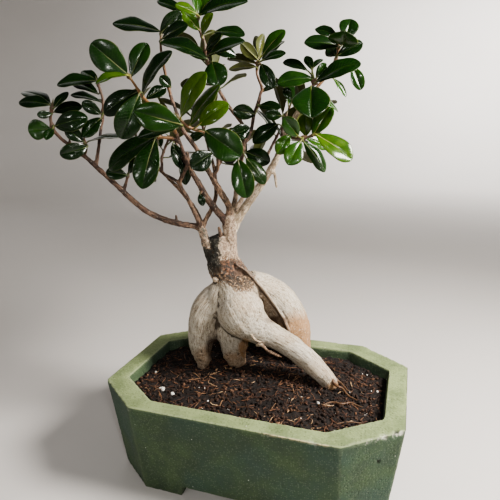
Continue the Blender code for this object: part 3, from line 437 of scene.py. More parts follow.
# Shoots at the back, whose leaves stand round the stem by a rule: stem points, then leaf count and seed
BACK_SHOOTS = {
    "shoot_back_centre": (((209.5, 151, -46.5), (206, 138, -56), (202, 124, -62), (198, 112, -64)), 7, 77),
    "shoot_back_centre_low": (((214.5, 172, -30.5), (222, 160, -42), (230, 148, -48)), 4, 38),
    "shoot_back_right": (((268, 153.5, -53.5), (276, 138, -62), (284, 122, -64), (290, 106, -62)), 7, 47),
    "shoot_back_right_low": (((256, 175, -39.5), (252, 165, -54), (248, 154, -66)), 4, 9),
    "shoot_back_left": (((145, 155, -54.5), (138, 142, -64), (134, 128, -70), (132, 114, -70)), 6, 12),
    "shoot_back_left_low": (((162, 172, -44.5), (162, 157, -50), (167, 143, -52), (172, 132, -50)), 5, 67),
    "shoot_back_top": (((225, 100, -19), (216, 86, -30), (210, 72, -38), (208, 58, -42)), 6, 50),
    "shoot_back_mid_right": (((276, 159, 9.5), (284, 146, -8), (296, 128, -22), (306, 106, -28)), 6, 5),
}
BACK_LEAF_LENGTH = 36.0
BACK_STALK = 6.0
GOLDEN_ANGLE = math.radians(137.5)
OTHER_STEM_TINT = 0.1
WHORL_START = 0.6
WHORL_LENGTHS = (0.8, 1.1)
WHORL_WIDTHS = (0.52, 0.62)
WHORL_WAVER = 0.25
WHORL_LIFT = 0.35
WHORL_TIP_LIFT = 0.75
WHORL_AWAY = 0.25
BACK_TONES = (0.1, 0.4)


def sight_frame():
    """The right, up and forward directions of someone sighting the plant."""
    level = math.cos(LOOK_DOWN)
    forward = Vector((-math.sin(TURN) * level, math.cos(TURN) * level, -math.sin(LOOK_DOWN)))
    right = forward.cross(Vector((0, 0, 1))).normalized()
    up = right.cross(forward)
    turned_right = right * math.cos(TILT) + up * math.sin(TILT)
    turned_up = up * math.cos(TILT) - right * math.sin(TILT)
    return turned_right, turned_up, forward


RIGHT, UP, FORWARD = sight_frame()
AWAY = Vector((-math.sin(TURN), math.cos(TURN), 0))
POT_LOW, POT_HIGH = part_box("pot")
POT_PLACE = Vector(((POT_LOW.x + POT_HIGH.x) / 2, (POT_LOW.y + POT_HIGH.y) / 2, 0))


def sight_ray(right, down):
    return FORWARD * REACH + RIGHT * (right - VIEW_CENTRE) + UP * (VIEW_CENTRE - down)


def sighted(right, down, nearer):
    """The place that appears at (right, down) and stands `nearer` millimetres in front of the stump."""
    ray = sight_ray(right, down)
    plane = Vector((STUMP_X, STUMP_Y, 0)) - AWAY * nearer
    return EYE + ray * ((plane - EYE).dot(AWAY) / ray.dot(AWAY))


def sighted_at_height(right, down, height):
    """The place at one height that appears at (right, down)."""
    ray = sight_ray(right, down)
    return EYE + ray * ((height - EYE.z) / ray.z)


# Laying out the shoots and leaves, as the solids do

def along_path(points, start, end=None):
    """The part of a path between two distances from its first point."""
    lengths = [0.0]
    for a, b in zip(points, points[1:]):
        lengths.append(lengths[-1] + (b - a).length)
    end = lengths[-1] if end is None else end

    def at(distance):
        for i in range(len(points) - 1):
            if distance <= lengths[i + 1]:
                share = (distance - lengths[i]) / (lengths[i + 1] - lengths[i])
                return points[i].lerp(points[i + 1], share)
        return points[-1].copy()

    between = [point for point, d in zip(points, lengths) if start + 1e-3 < d < end - 1e-3]
    return [at(start), *between, at(end)]


def path_length(path):
    return sum((b - a).length for a, b in zip(path, path[1:]))


def woody_length(path):
    return min(WOODY_LENGTH, WOODY_SHARE * path_length(path))


def nearest_on_path(path, place):
    best = None
    for a, b in zip(path, path[1:]):
        share = max(0.0, min(1.0, (place - a).dot(b - a) / (b - a).length_squared))
        spot = a.lerp(b, share)
        if best is None or (spot - place).length < (best - place).length:
            best = spot
    return best


class Leaf:
    """One leaf: where its blade starts and ends, its width, and the way its upper side faces."""

    def __init__(self, shoot, stalk, base, tip, width, facing, tone):
        self.shoot = shoot
        self.stalk = stalk
        self.base = base
        self.tip = tip
        self.length = (tip - base).length
        self.width = width
        self.facing = facing
        self.tone = tone
        self.slide = 0.0

    def placed(self):
        """The base, tip and width after the leaf has slid along the line of sight."""
        scale = 1 + self.slide / (self.base - EYE).length
        return EYE + (self.base - EYE) * scale, EYE + (self.tip - EYE) * scale, self.width * scale

    def directions(self):
        """Ahead along the blade, out of its upper side, and across it."""
        base, tip, _ = self.placed()
        ahead = (tip - base).normalized()
        facing = (self.facing - ahead * self.facing.dot(ahead)).normalized()
        return ahead, facing, ahead.cross(facing)

    def plain_solid(self, thickness):
        """The few-sided blade of the solids, for keeping leaves apart."""
        base, tip, width = self.placed()
        _, facing, side = self.directions()
        along = tip - base
        length = along.length
        rows = [[self.stalk.copy()] * 3]
        rows.append([base + side * STALK_HALF_WIDTH * place for place in (-1, 0, 1)])
        for share, breadth in SMALL_SOLID_ROWS if length < SMALL_LEAF else SOLID_ROWS:
            half = breadth * width / 2
            middle = base + along * share + facing * LEAF_ARCH * length * math.sin(math.pi * share)
            rise = facing * half * LEAF_FOLD
            rows.append([middle - side * half + rise, middle, middle + side * half + rise])
        rows.append([tip] * 3)
        bm = bmesh.new()
        bmesh.ops.create_grid(bm, x_segments=2, y_segments=len(rows) - 1, size=1)
        grid = sorted(bm.verts, key=lambda vert: (round(vert.co.y, 3), round(vert.co.x, 3)))
        for vert, place in zip(grid, [place for row in rows for place in row]):
            vert.co = place
        bmesh.ops.remove_doubles(bm, verts=bm.verts, dist=1e-4)
        bmesh.ops.triangulate(bm, faces=bm.faces)
        bm.normal_update()
        bmesh.ops.solidify(bm, geom=bm.faces[:], thickness=thickness)
        bmesh.ops.recalc_face_normals(bm, faces=bm.faces)
        return bm


def sighted_leaf(shoot, path, row):
    """A leaf from its sighted base and tip and its apparent width."""
    base_right, base_down, tip_right, tip_down, apparent, nearer, lean, tone = row
    base = sighted(base_right, base_down, nearer)
    tip = sighted(tip_right, tip_down, nearer + lean)
    scale = (base - EYE).dot(FORWARD) / REACH
    seen = abs(apparent) * scale
    width = max(seen, (tip - base).length * BLADE_WIDTH_RATIO)
    ahead = (tip - base).normalized()
    to_eye = (EYE - base).normalized()
    to_eye = (to_eye - ahead * to_eye.dot(ahead)).normalized()
    over = ahead.cross(to_eye)
    if over.z < 0:
        over = -over
    turn = math.acos(min(1.0, seen / width))
    facing = to_eye * math.cos(turn) * (1 if apparent > 0 else -1) + over * math.sin(turn)
    return Leaf(shoot, nearest_on_path(path[1:], base), base, tip, width, facing, tone)


def whorl_leaves(shoot, path, count, seed):
    """Leaves set round a stem, each turned by the golden angle and rising more towards the tip."""
    draw = random.Random(seed)
    green = along_path(path, woody_length(path) + BARE_FOOT)
    ahead = (green[-1] - green[0]).normalized()
    across = ahead.orthogonal().normalized()
    leaves = []
    for i in range(count):
        share = (i + WHORL_START) / count
        spot = along_path(green, 0, path_length(green) * share)[-1]
        turn = i * GOLDEN_ANGLE + draw.uniform(-WHORL_WAVER, WHORL_WAVER)
        out = Matrix.Rotation(turn, 3, ahead) @ across
        way = (out + ahead * (WHORL_LIFT + WHORL_TIP_LIFT * share) + AWAY * WHORL_AWAY).normalized()
        length = BACK_LEAF_LENGTH * draw.uniform(*WHORL_LENGTHS)
        base = spot + way * BACK_STALK
        facing = ahead + Vector((0, 0, 0.8)) - out * 0.2
        width = length * draw.uniform(*WHORL_WIDTHS)
        tone = BACK_TONES[0] + (BACK_TONES[1] - BACK_TONES[0]) * share
        leaves.append(Leaf(shoot, spot, base, base + way * length, width, facing, tone))
    return leaves


def slide_by(leaf, step):
    leaf.slide = max(-MOST_SLIDE, min(MOST_SLIDE, leaf.slide + step))


def spread_apart(leaves, stems):
    """Slides leaves along the line of sight until none runs through another or through a stem."""
    for _ in range(SLIDE_ROUNDS):
        trees = []
        for leaf in leaves:
            bm = leaf.plain_solid(LEAF_CLEARANCE + BLADE_THICKNESS)
            trees.append(BVHTree.FromBMesh(bm))
            bm.free()
        middles = [(leaf.placed()[0] + leaf.placed()[1]) / 2 for leaf in leaves]
        pushed = False
        for i, leaf in enumerate(leaves):
            for shoot, tree in stems.items():
                if shoot != leaf.shoot and trees[i].overlap(tree):
                    slide_by(leaf, SLIDE_STEP if leaf.slide > 0 else -SLIDE_STEP)
                    pushed = True
            for j in range(i):
                other = leaves[j]
                too_far = (middles[i] - middles[j]).length > LEAF_REACH * (leaf.length + other.length)
                if too_far or not trees[i].overlap(trees[j]):
                    continue
                behind = (middles[i] - EYE).length > (middles[j] - EYE).length
                step = SLIDE_STEP / 2 if behind else -SLIDE_STEP / 2
                slide_by(leaf, step)
                slide_by(other, -step)
                pushed = True
        if not pushed:
            break


def link(name, data):
    """A new object in the scene with some data."""
    made = bpy.data.objects.new(name, data)
    bpy.context.scene.collection.objects.link(made)
    return made


def guide_tree(path):
    """A stem's few-sided tube, for keeping leaves off it."""
    curve = bpy.data.curves.new("guide", "CURVE")
    curve.dimensions = "3D"
    curve.bevel_depth = MM
    curve.bevel_resolution = (GUIDE_SIDES - 4) // 2
    curve.use_fill_caps = True
    spline = curve.splines.new("POLY")
    spline.points.add(len(path) - 1)
    for knot, point in zip(spline.points, path):
        knot.co = (*(point * MM), 1.0)
        knot.radius = GUIDE_RADIUS
    drawn = link("guide", curve)
    bpy.context.view_layer.update()
    mesh = bpy.data.meshes.new_from_object(drawn.evaluated_get(bpy.context.evaluated_depsgraph_get()))
    bm = bmesh.new()
    bm.from_mesh(mesh)
    bmesh.ops.remove_doubles(bm, verts=bm.verts, dist=1e-6)
    bmesh.ops.scale(bm, vec=(1 / MM, 1 / MM, 1 / MM), verts=bm.verts)
    tree = BVHTree.FromBMesh(bm)
    bm.free()
    bpy.data.objects.remove(drawn)
    bpy.data.curves.remove(curve)
    bpy.data.meshes.remove(mesh)
    return tree


def plan_shoots():
    """The path of every shoot's stem and its leaves, spread apart."""
    shoots = {}
    for name, (stem, leaves) in SHOOTS.items():
        path = [sighted(*point) for point in stem]
        shoots[name] = {"path": path, "leaves": [sighted_leaf(name, path, row) for row in leaves]}
    for name, (stem, count, seed) in BACK_SHOOTS.items():
        path = [sighted(*point) for point in stem]
        shoots[name] = {"path": path, "leaves": whorl_leaves(name, path, count, seed)}
    stems = {name: guide_tree(shoot["path"]) for name, shoot in shoots.items()}
    spread_apart([leaf for shoot in shoots.values() for leaf in shoot["leaves"]], stems)
    for shoot in shoots.values():
        stem = along_path(shoot["path"], woody_length(shoot["path"]) + CLEAR)
        bearing = along_path(stem, BARE_FOOT, path_length(stem) - BARE_TIP)
        for leaf in shoot["leaves"]:
            leaf.stalk = nearest_on_path(bearing, leaf.stalk)
    return shoots


# Shaping

def smooth_rows(points, spacing):
    """Rows about `spacing` apart on a smooth curve through rows of numbers that start with a place."""
    rows = np.array(points, float)
    padded = np.vstack([2 * rows[0] - rows[1], rows, 2 * rows[-1] - rows[-2]])
    found = []
    for a, b, c, d in zip(padded, padded[1:], padded[2:], padded[3:]):
        count = max(1, round(np.linalg.norm((c - b)[:3]) / spacing))
        for t in np.arange(count) / count:
            bend = (2 * a - 5 * b + 4 * c - d) * t**2 + (3 * b - a - 3 * c + d) * t**3
            found.append((2 * b + (c - a) * t + bend) / 2)
    found.append(rows[-1])
    return np.array(found)


def unit(way):
    return way / np.linalg.norm(way)


def runs_of(rows):
    """How far along its path each row lies."""
    return np.concatenate([[0], np.cumsum(np.linalg.norm(np.diff(rows[:, :3], axis=0), axis=1))])


def directions_along(path):
    """At each point of a path, its direction and two directions across it that don't twist."""
    ahead = np.gradient(path, axis=0)
    ahead /= np.linalg.norm(ahead, axis=1)[:, None]
    across = [np.array(Vector(ahead[0]).orthogonal().normalized())]
    for way in ahead[1:]:
        across.append(unit(across[-1] - way * across[-1].dot(way)))
    across = np.array(across)
    return ahead, across, np.cross(ahead, across)


def round_rings(path, radii, sides):
    """Rings of places round a path. The radii are one for each ring, or one for each place."""
    _, across, up = directions_along(path)
    turn = np.linspace(0, 2 * math.pi, sides, endpoint=False)
    radii = np.broadcast_to(np.reshape(radii, (len(path), -1)), (len(path), sides))
    out = np.cos(turn)[None, :, None] * across[:, None] + np.sin(turn)[None, :, None] * up[:, None]
    return path[:, None] + out * radii[:, :, None]


def skin(bm, rings, marks=()):
    """A closed skin over rings of places, drawn together at both ends. It is rolled from a flat grid.

    A mark is a layer of the mesh and its value at each place of each ring.
    """
    count, around = rings.shape[:2]
    first, last = rings[0].mean(axis=0), rings[-1].mean(axis=0)
    grid = bmesh.ops.create_grid(bm, x_segments=around, y_segments=count + 1, size=0.5)["verts"]
    grid.sort(key=lambda vert: (round(vert.co.y, 4), round(vert.co.x, 4)))
    for i, vert in enumerate(grid):
        ring, place = divmod(i, around + 1)
        inner = min(max(ring - 1, 0), count - 1)
        if ring == 0:
            vert.co = first
        elif ring == count + 1:
            vert.co = last
        else:
            vert.co = rings[inner, place % around]
        for layer, values in marks:
            vert[layer] = values[inner, place % around]
    bmesh.ops.remove_doubles(bm, verts=grid, dist=1e-5)


def tube(bm, rows, sides, marks=()):
    """A closed round tube along rows of place and radius, with every mark one value a row."""
    spread = [(layer, np.repeat(np.array(values)[:, None], sides, axis=1)) for layer, values in marks]
    skin(bm, round_rings(rows[:, :3], rows[:, 3], sides), spread)


def pour(bm, small):
    """Adds a small bmesh to a large one, which is far quicker than shaping it there."""
    mesh = bpy.data.meshes.new("small")
    small.to_mesh(mesh)
    small.free()
    bm.from_mesh(mesh)
    bpy.data.meshes.remove(mesh)


def rounded_end(rows, steps=3):
    """Rows of place and radius with a half-round end after the last."""
    ahead, radius = unit(rows[-1, :3] - rows[-2, :3]), rows[-1, 3]
    ends = []
    for step in range(1, steps + 1):
        turn = step / (steps + 0.5) * math.pi / 2
        ends.append([*(rows[-1, :3] + ahead * radius * math.sin(turn)), radius * math.cos(turn)])
    return np.vstack([rows, ends])


def to_object(name, bm):
    """An object in the scene from a bmesh, which is used up."""
    mesh = bpy.data.meshes.new(name)
    bm.to_mesh(mesh)
    bm.free()
    return link(name, mesh)


def set_modifiers(made):
    """Gives the object its evaluated mesh, with no modifiers left on it."""
    bpy.context.view_layer.update()
    graph = bpy.context.evaluated_depsgraph_get()
    old = made.data
    mesh = bpy.data.meshes.new_from_object(made.evaluated_get(graph))
    made.modifiers.clear()
    made.data = mesh
    bpy.data.meshes.remove(old)
    mesh.name = made.name


def one_skin(made, voxel, smoothing):
    """Melts what the object holds into one skin of small faces, and softens it."""
    voxels = made.modifiers.new("one_skin", "REMESH")
    voxels.mode = "VOXEL"
    voxels.voxel_size = voxel
    soften = made.modifiers.new("soften", "SMOOTH")
    soften.factor = 0.5
    soften.iterations = smoothing
    set_modifiers(made)


def read(items, key, width=3, kind=float):
    """What the items of a mesh hold under a key, one row an item."""
    values = np.empty(len(items) * width, kind)
    items.foreach_get(key, values)
    return values.reshape(-1, width)


def places_of(mesh):
    return read(mesh.vertices, "co")


def outward_of(mesh):
    return read(mesh.vertex_normals, "vector")


def move_to(mesh, places):
    mesh.vertices.foreach_set("co", places.ravel())
    mesh.update()


def hollowness(mesh, rounds):
    """How far each place lies in a hollow, above nought, or on a hump, below nought, in millimetres."""
    a, b = read(mesh.edges, "vertices", 2, int).T
    places = places_of(mesh)
    soft = places.copy()
    share = np.bincount(a, minlength=len(places)) + np.bincount(b, minlength=len(places))
    for _ in range(rounds):
        total = [
            np.bincount(a, soft[b, i], len(places)) + np.bincount(b, soft[a, i], len(places))
            for i in range(3)
        ]
        soft = np.array(total).T / share[:, None]
    return ((soft - places) * outward_of(mesh)).sum(axis=1)


def waver(places, size, seed):
    """Smooth random values between -1 and 1 with lumps of about `size`."""
    shift = Vector((seed, -seed, seed / 2))
    return np.array([noise.noise(Vector(place) / size + shift) for place in places])


def drawn_out(at, across, along, seed):
    """Smooth random values with lumps of one size across a root or branch and another along it."""
    return waver(at / np.array([across, across, along]), 1, seed)


def write_marks(mesh, **marks):
    """Keeps values for each place of a mesh, under the names that its finishes look for."""
    for name, values in marks.items():
        kind, key = ("FLOAT_VECTOR", "vector") if values.ndim == 2 else ("FLOAT", "value")
        mark = mesh.attributes.new(name, kind, "POINT")
        mark.data.foreach_set(key, values.astype(np.float32).ravel())


def finish_piece(made, finishes, nodes):
    """Brings a piece to metres and to its place, with its finishes and the solids it stands for."""
    made.data.transform(Matrix.Translation(POT_PLACE) @ Matrix.Scale(MM, 4))
    for finish in finishes:
        made.data.materials.append(finish)
    made.data.shade_smooth()
    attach(made, "root")
    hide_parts(*nodes)


# Finishes

def add(tree, kind, inputs=None, **settings):
    """A shader node with its settings, and its inputs linked or set by name or place."""
    node = tree.nodes.new(kind)
    for key, value in settings.items():
        setattr(node, key, value)
    for key, value in (inputs or {}).items():
        if isinstance(value, bpy.types.NodeSocket):
            tree.links.new(value, node.inputs[key])
        else:
            node.inputs[key].default_value = value
    return node


def sums(operation, a, b=0.0):
    return add(a.id_data, "ShaderNodeMath", {0: a, 1: b}, operation=operation).outputs[0]


def plus(a, b):
    return sums("ADD", a, b)


def minus(a, b):
    return sums("SUBTRACT", a, b)


def times(a, b):
    return sums("MULTIPLY", a, b)


def scaled(value, factor, shift=0.0):
    inputs = {0: value, 1: factor, 2: shift}
    return add(value.id_data, "ShaderNodeMath", inputs, operation="MULTIPLY_ADD").outputs[0]


def mask(value, start, end, low=0.0, high=1.0):
    """A smooth step from `low` to `high` as the value goes from start to end."""
    inputs = {"Value": value, "From Min": start, "From Max": end, "To Min": low, "To Max": high}
    return add(value.id_data, "ShaderNodeMapRange", inputs, interpolation_type="SMOOTHSTEP").outputs[0]


def mix(share, a, b):
    """Colour a turning to colour b with the share."""
    a, b = ((*colour, 1.0) if isinstance(colour, tuple) else colour for colour in (a, b))
    return add(share.id_data, "ShaderNodeMix", {0: share, 6: a, 7: b}, data_type="RGBA").outputs[2]


def laid(colour, *layers):
    """A colour with others laid over it one by one, each with its share."""
    for share, over in layers:
        colour = mix(share, colour, over)
    return colour


def shades(value, *stops):
    """A colour that runs through (place, colour) stops as the value rises."""
    ramp = add(value.id_data, "ShaderNodeValToRGB", {"Fac": value})
    slots = ramp.color_ramp.elements
    while len(slots) < len(stops):
        slots.new(0.5)
    for slot, (place, colour) in zip(slots, stops):
        slot.position = place
        slot.color = (*colour, 1.0)
    return ramp.outputs["Color"]


def marked(tree, name, output="Fac"):
    """The value that a mark of the mesh has at each place."""
    return add(tree, "ShaderNodeAttribute", attribute_name=name).outputs[output]


def lengthwise(tree, stretch):
    """The place on a root or branch, drawn out along it by a share."""
    inputs = {"Vector": marked(tree, "root_at", "Vector"), "Scale": (1.0, 1.0, stretch)}
    return add(tree, "ShaderNodeMapping", inputs).outputs[0]


def clouds(at, scale, detail=2.0, rough=0.5, distortion=0.0):
    inputs = {
        "Vector": at, "Scale": scale, "Detail": detail, "Roughness": rough, "Distortion": distortion,
    }
    return add(at.id_data, "ShaderNodeTexNoise", inputs).outputs[0]


def new_group(name, inputs, outputs):
    """A shader node group with named inputs and outputs, all of them single values but for a vector."""
    group = bpy.data.node_groups.new(name, "ShaderNodeTree")
    for label in inputs:
        kind = "NodeSocketVector" if label == "Vector" else "NodeSocketFloat"
        group.interface.new_socket(label, in_out="INPUT", socket_type=kind)
    for label in outputs:
        group.interface.new_socket(label, in_out="OUTPUT", socket_type="NodeSocketFloat")
    return group, add(group, "NodeGroupInput").outputs, add(group, "NodeGroupOutput").inputs


def specks_group():
    """Sparse round specks: a mask of 1 inside a speck."""
    group, given, out = new_group("sparse_specks", ["Vector", "Scale", "Size", "Share"], ["Mask"])
    cells = add(group, "ShaderNodeTexVoronoi", {"Vector": given["Vector"], "Scale": given["Scale"]})
    lot = add(group, "ShaderNodeSeparateColor", {0: cells.outputs["Color"]}).outputs[0]
    chosen = sums("LESS_THAN", lot, given["Share"])
    inner = times(given["Size"], 0.5)
    inputs = {"Value": cells.outputs["Distance"], "From Min": given["Size"], "From Max": inner}
    inside = add(group, "ShaderNodeMapRange", inputs).outputs[0]
    group.links.new(times(inside, chosen), out["Mask"])
    return group


def mottle_group():
    """Soft patches of two sizes laid over each other, as a mask and as a fine height."""
    group, given, out = new_group("mottle", ["Vector", "Patch", "Grain"], ["Mask", "Height"])
    patches = clouds(given["Vector"], given["Patch"], 3.0, 0.6)
    grains = clouds(given["Vector"], given["Grain"], 4.0, 0.7)
    both = plus(times(patches, 0.65), times(grains, 0.35))
    group.links.new(mask(both, 0.38, 0.62), out["Mask"])
    group.links.new(grains, out["Height"])
    return group


def specked(group, at, scale, size, share):
    """Specks in a share of all cells. A scale of 1000 has about one cell a millimetre."""
    inputs = {"Vector": at, "Scale": scale, "Size": size, "Share": share}
    return add(at.id_data, "ShaderNodeGroup", inputs, node_tree=group).outputs["Mask"]


def mottled(group, at, patch_scale, grain_scale):
    """The mask and the relief of soft patches of two sizes."""
    inputs = {"Vector": at, "Patch": patch_scale, "Grain": grain_scale}
    out = add(at.id_data, "ShaderNodeGroup", inputs, node_tree=group).outputs
    return out["Mask"], out["Height"]


def new_finish(name):
    """A finish, its nodes, and the place on the piece in metres."""
    finish = bpy.data.materials.new(name)
    finish.use_nodes = True
    tree = finish.node_tree
    return finish, tree, add(tree, "ShaderNodeTexCoord").outputs["Object"]


def wear(finish, colour, roughness, height, depth):
    """Links colour, roughness and bump into the finish's shader. The bump's depth is in millimetres."""
    tree = finish.node_tree
    inputs = {"Height": height, "Strength": 1.0, "Distance": depth * MM}
    bump = add(tree, "ShaderNodeBump", inputs).outputs[0]
    for key, value in (("Base Color", colour), ("Roughness", roughness), ("Normal", bump)):
        tree.links.new(value, tree.nodes["Principled BSDF"].inputs[key])
    return finish


def concrete(mottle, specks):
    """Sage green concrete: a pale rim, dark mottled walls, fine light and dark specks."""
    finish, tree, at = new_finish("pigmented_concrete")
    patches, relief = mottled(mottle, at, 42.0, 480.0)
    broad = clouds(at, 17.0, 3.0, 0.55)
    wall = laid(
        mix(patches, (0.027, 0.049, 0.024), (0.058, 0.092, 0.043)),
        (mask(broad, 0.42, 0.66, 0.0, 0.65), (0.028, 0.062, 0.048)),
    )
    top = mix(patches, (0.135, 0.176, 0.074), (0.230, 0.280, 0.130))
    rim = marked(tree, "rim")
    worn = times(mask(marked(tree, "edge"), 0.45, 1.0), mask(rim, 0.0, 0.5, 0.1, 0.35))
    dark = specked(specks, at, 520.0, 0.42, 0.3)
    light = specked(specks, at, 700.0, 0.5, 0.45)
    white = specked(specks, at, 190.0, 0.12, 0.07)
    pores = specked(specks, at, 460.0, 0.5, 0.4)
    crumbled = mask(clouds(at, 330.0, 3.0, 0.6), 0.4, 0.55)
    colour = laid(
        mix(rim, wall, top),
        (worn, (0.30, 0.34, 0.20)),
        (scaled(dark, 0.42), (0.02, 0.035, 0.018)),
        (scaled(light, 0.11), (0.36, 0.41, 0.28)),
        (scaled(white, 0.6), (0.62, 0.62, 0.55)),
        (scaled(times(marked(tree, "chip"), crumbled), 0.85), (0.62, 0.61, 0.52)),
        (scaled(times(marked(tree, "lip"), crumbled), 0.9), (0.62, 0.52, 0.31)),
        # painted shade: the two pits are darkened as if shaded
        (marked(tree, "pit"), (0.022, 0.028, 0.016)),
    )
    rough = mask(patches, 0.0, 1.0, 0.74, 0.9)
    return wear(finish, colour, rough, minus(relief, scaled(pores, 0.5)), 0.35)


def root_skin(mottle, specks):
    """Thin whitish bark with fine wrinkles, a brown rough graft and dark mossy bark on the stump."""
    finish, tree, at = new_finish("root_skin")
    strips = lengthwise(tree, 0.16)
    lines = clouds(strips, 1.05, 6.0, 0.74, 0.9)
    fine = clouds(strips, 2.2, 4.0, 0.65)
    crazed = clouds(at, 430.0, 6.0, 0.78, 1.0)
    grain = clouds(at, 520.0, 3.0, 0.68)
    patches, _ = mottled(mottle, at, 70.0, 600.0)
    flecks = specked(specks, at, 480.0, 0.36, 0.4)
    stains = mask(clouds(at, 38.0, 2.0), 0.5, 0.68, 0.0, 0.5)
    tan = times(marked(tree, "tan"), mask(fine, 0.3, 0.65, 0.6, 1.0))
    cracks = mask(plus(scaled(lines, 0.5), scaled(crazed, 0.5)), 0.475, 0.405)
    # painted shade: the face left of the cord is coloured brown and dark as if in shade
    inner = times(marked(tree, "inner"), mask(lines, 0.3, 0.62, 0.95, 0.6))
    ragged = scaled(grain, 2.6, -1.3)
    graft = mask(plus(marked(tree, "graft"), ragged), 0.25, 0.65, 0.0, 0.92)
    bark = mask(plus(marked(tree, "bark"), ragged), 0.3, 0.6)
    # painted shade with dirt: darker towards the soil and shaded in the fork, the graft's slot and the
    # cord's groove
    dirt = times(marked(tree, "dirt"), mask(patches, 0.1, 0.8, 0.5, 1.0))
    wood = shades(
        crazed, (0.40, (0.11, 0.065, 0.04)), (0.51, (0.36, 0.265, 0.185)), (0.62, (0.57, 0.46, 0.355)),
    )
    brown = shades(
        grain, (0.42, (0.008, 0.004, 0.003)), (0.50, (0.05, 0.025, 0.011)), (0.57, (0.15, 0.08, 0.035)),
        (0.66, (0.50, 0.36, 0.22)),
    )
    rust = shades(
        grain, (0.44, (0.008, 0.003, 0.002)), (0.53, (0.075, 0.023, 0.009)), (0.65, (0.32, 0.13, 0.05)),
    )
    moss = shades(
        grain, (0.36, (0.006, 0.005, 0.0035)), (0.52, (0.022, 0.019, 0.012)), (0.62, (0.065, 0.06, 0.042)),
        (0.72, (0.27, 0.26, 0.22)),
    )
    colour = laid(
        mix(mask(lines, 0.40, 0.58), (0.25, 0.20, 0.14), (0.55, 0.49, 0.395)),
        (mask(patches, 0.2, 0.9, 0.0, 0.35), (0.58, 0.545, 0.475)),
        (stains, (0.47, 0.375, 0.265)),
        (tan, (0.35, 0.185, 0.075)),
        (scaled(cracks, 0.85), (0.13, 0.09, 0.058)),
        (inner, (0.13, 0.082, 0.048)),
        (scaled(flecks, 0.25), (0.70, 0.69, 0.67)),
        (marked(tree, "trunk"), wood),
        (graft, mix(marked(tree, "red"), brown, rust)),
        (scaled(marked(tree, "cord"), 0.85), (0.27, 0.205, 0.155)),
        (bark, moss),
        # painted shade: the creases between the roots are darkened as if shaded
        (mask(marked(tree, "hollow"), 0.54, 0.85, 0.0, 0.9), (0.05, 0.032, 0.019)),
        (dirt, (0.075, 0.043, 0.026)),
    )
    height = plus(lines, plus(scaled(crazed, 0.6), scaled(grain, 0.35)))
    return wear(finish, colour, mask(lines, 0.3, 0.7, 0.85, 0.66), height, 0.9)


def twig_bark(specks):
    """Twig bark from dark reddish brown to pale beige, with lengthwise streaks and pale pores."""
    finish, tree, at = new_finish("twig_bark")
    lines = clouds(lengthwise(tree, 0.2), 1.6, 4.0, 0.6)
    broad = clouds(at, 120.0, 3.0, 0.6)
    pores = specked(specks, at, 520.0, 0.34, 0.35)
    pale = marked(tree, "pale")
    dark = shades(
        pale, (0.0, (0.015, 0.007, 0.005)), (0.45, (0.05, 0.027, 0.016)), (1.0, (0.34, 0.26, 0.175)),
    )
    light = shades(
        pale, (0.0, (0.10, 0.052, 0.034)), (0.45, (0.30, 0.19, 0.12)), (1.0, (0.76, 0.65, 0.50)),
    )
    colour = laid(
        mix(mask(plus(scaled(lines, 0.6), scaled(broad, 0.4)), 0.46, 0.57), dark, light),
        (scaled(pores, 0.45), (0.40, 0.33, 0.25)),
        (mask(clouds(at, 210.0, 4.0, 0.7), 0.56, 0.68, 0.0, 0.7), (0.055, 0.034, 0.024)),
    )
    rough = mask(lines, 0.3, 0.7, 0.85, 0.68)
    return wear(finish, colour, rough, plus(lines, scaled(pores, 0.3)), 0.5)


def leaf_skin(mottle):
    """Glossy leathery leaf: green with a pale midrib and margin and faint side veins, its back dull."""
    finish, tree, at = new_finish("ficus_leaf")
    tone, lot, top = marked(tree, "tone"), marked(tree, "lot"), marked(tree, "top")
    along, away = marked(tree, "blade_s"), sums("ABSOLUTE", marked(tree, "blade_u"))
    patches, relief = mottled(mottle, at, 130.0, 900.0)
    shade = plus(plus(tone, scaled(patches, 0.12, -0.06)), scaled(lot, 0.14, -0.07))
    slant = minus(scaled(along, 14.0), scaled(away, 2.6))
    wobble = plus(slant, scaled(clouds(at, 90.0), 1.1))
    comb = sums("ABSOLUTE", minus(sums("FRACT", wobble), 0.5))
    veins = times(mask(comb, 0.1, 0.0), mask(away, 0.95, 0.7))
    rib = times(mask(away, 0.065, 0.015), mask(along, 0.9, 0.05, 0.06, 0.3))
    upper = shades(
        shade, (0.0, (0.0022, 0.008, 0.0022)), (0.35, (0.005, 0.020, 0.0028)),
        (0.65, (0.015, 0.052, 0.004)), (1.0, (0.08, 0.14, 0.009)),
    )
    upper = laid(
        upper,
        (scaled(veins, 0.1), (0.07, 0.14, 0.025)),
        (rib, (0.09, 0.14, 0.025)),
        (scaled(mask(away, 0.9, 1.0), 0.14), (0.11, 0.16, 0.03)),
    )
    under = laid(
        mix(patches, (0.034, 0.041, 0.006), (0.055, 0.062, 0.009)),
        (scaled(veins, 0.3), (0.09, 0.10, 0.02)),
    )
    rough = mask(top, 0.0, 1.0, 0.5, mask(lot, 0.2, 0.9, 0.10, 0.19))
    rough = plus(rough, scaled(patches, 0.06))
    height = minus(scaled(relief, 0.25), scaled(veins, 0.3))
    shader = tree.nodes["Principled BSDF"]
    shader.inputs["Specular IOR Level"].default_value = 0.28
    shader.inputs["Coat Weight"].default_value = 0.11
    shader.inputs["Coat Roughness"].default_value = 0.08
    shader.inputs["Subsurface Weight"].default_value = 0.06
    shader.inputs["Subsurface Radius"].default_value = (0.0006, 0.0012, 0.0003)
    return wear(finish, mix(top, under, upper), rough, height, 0.12)


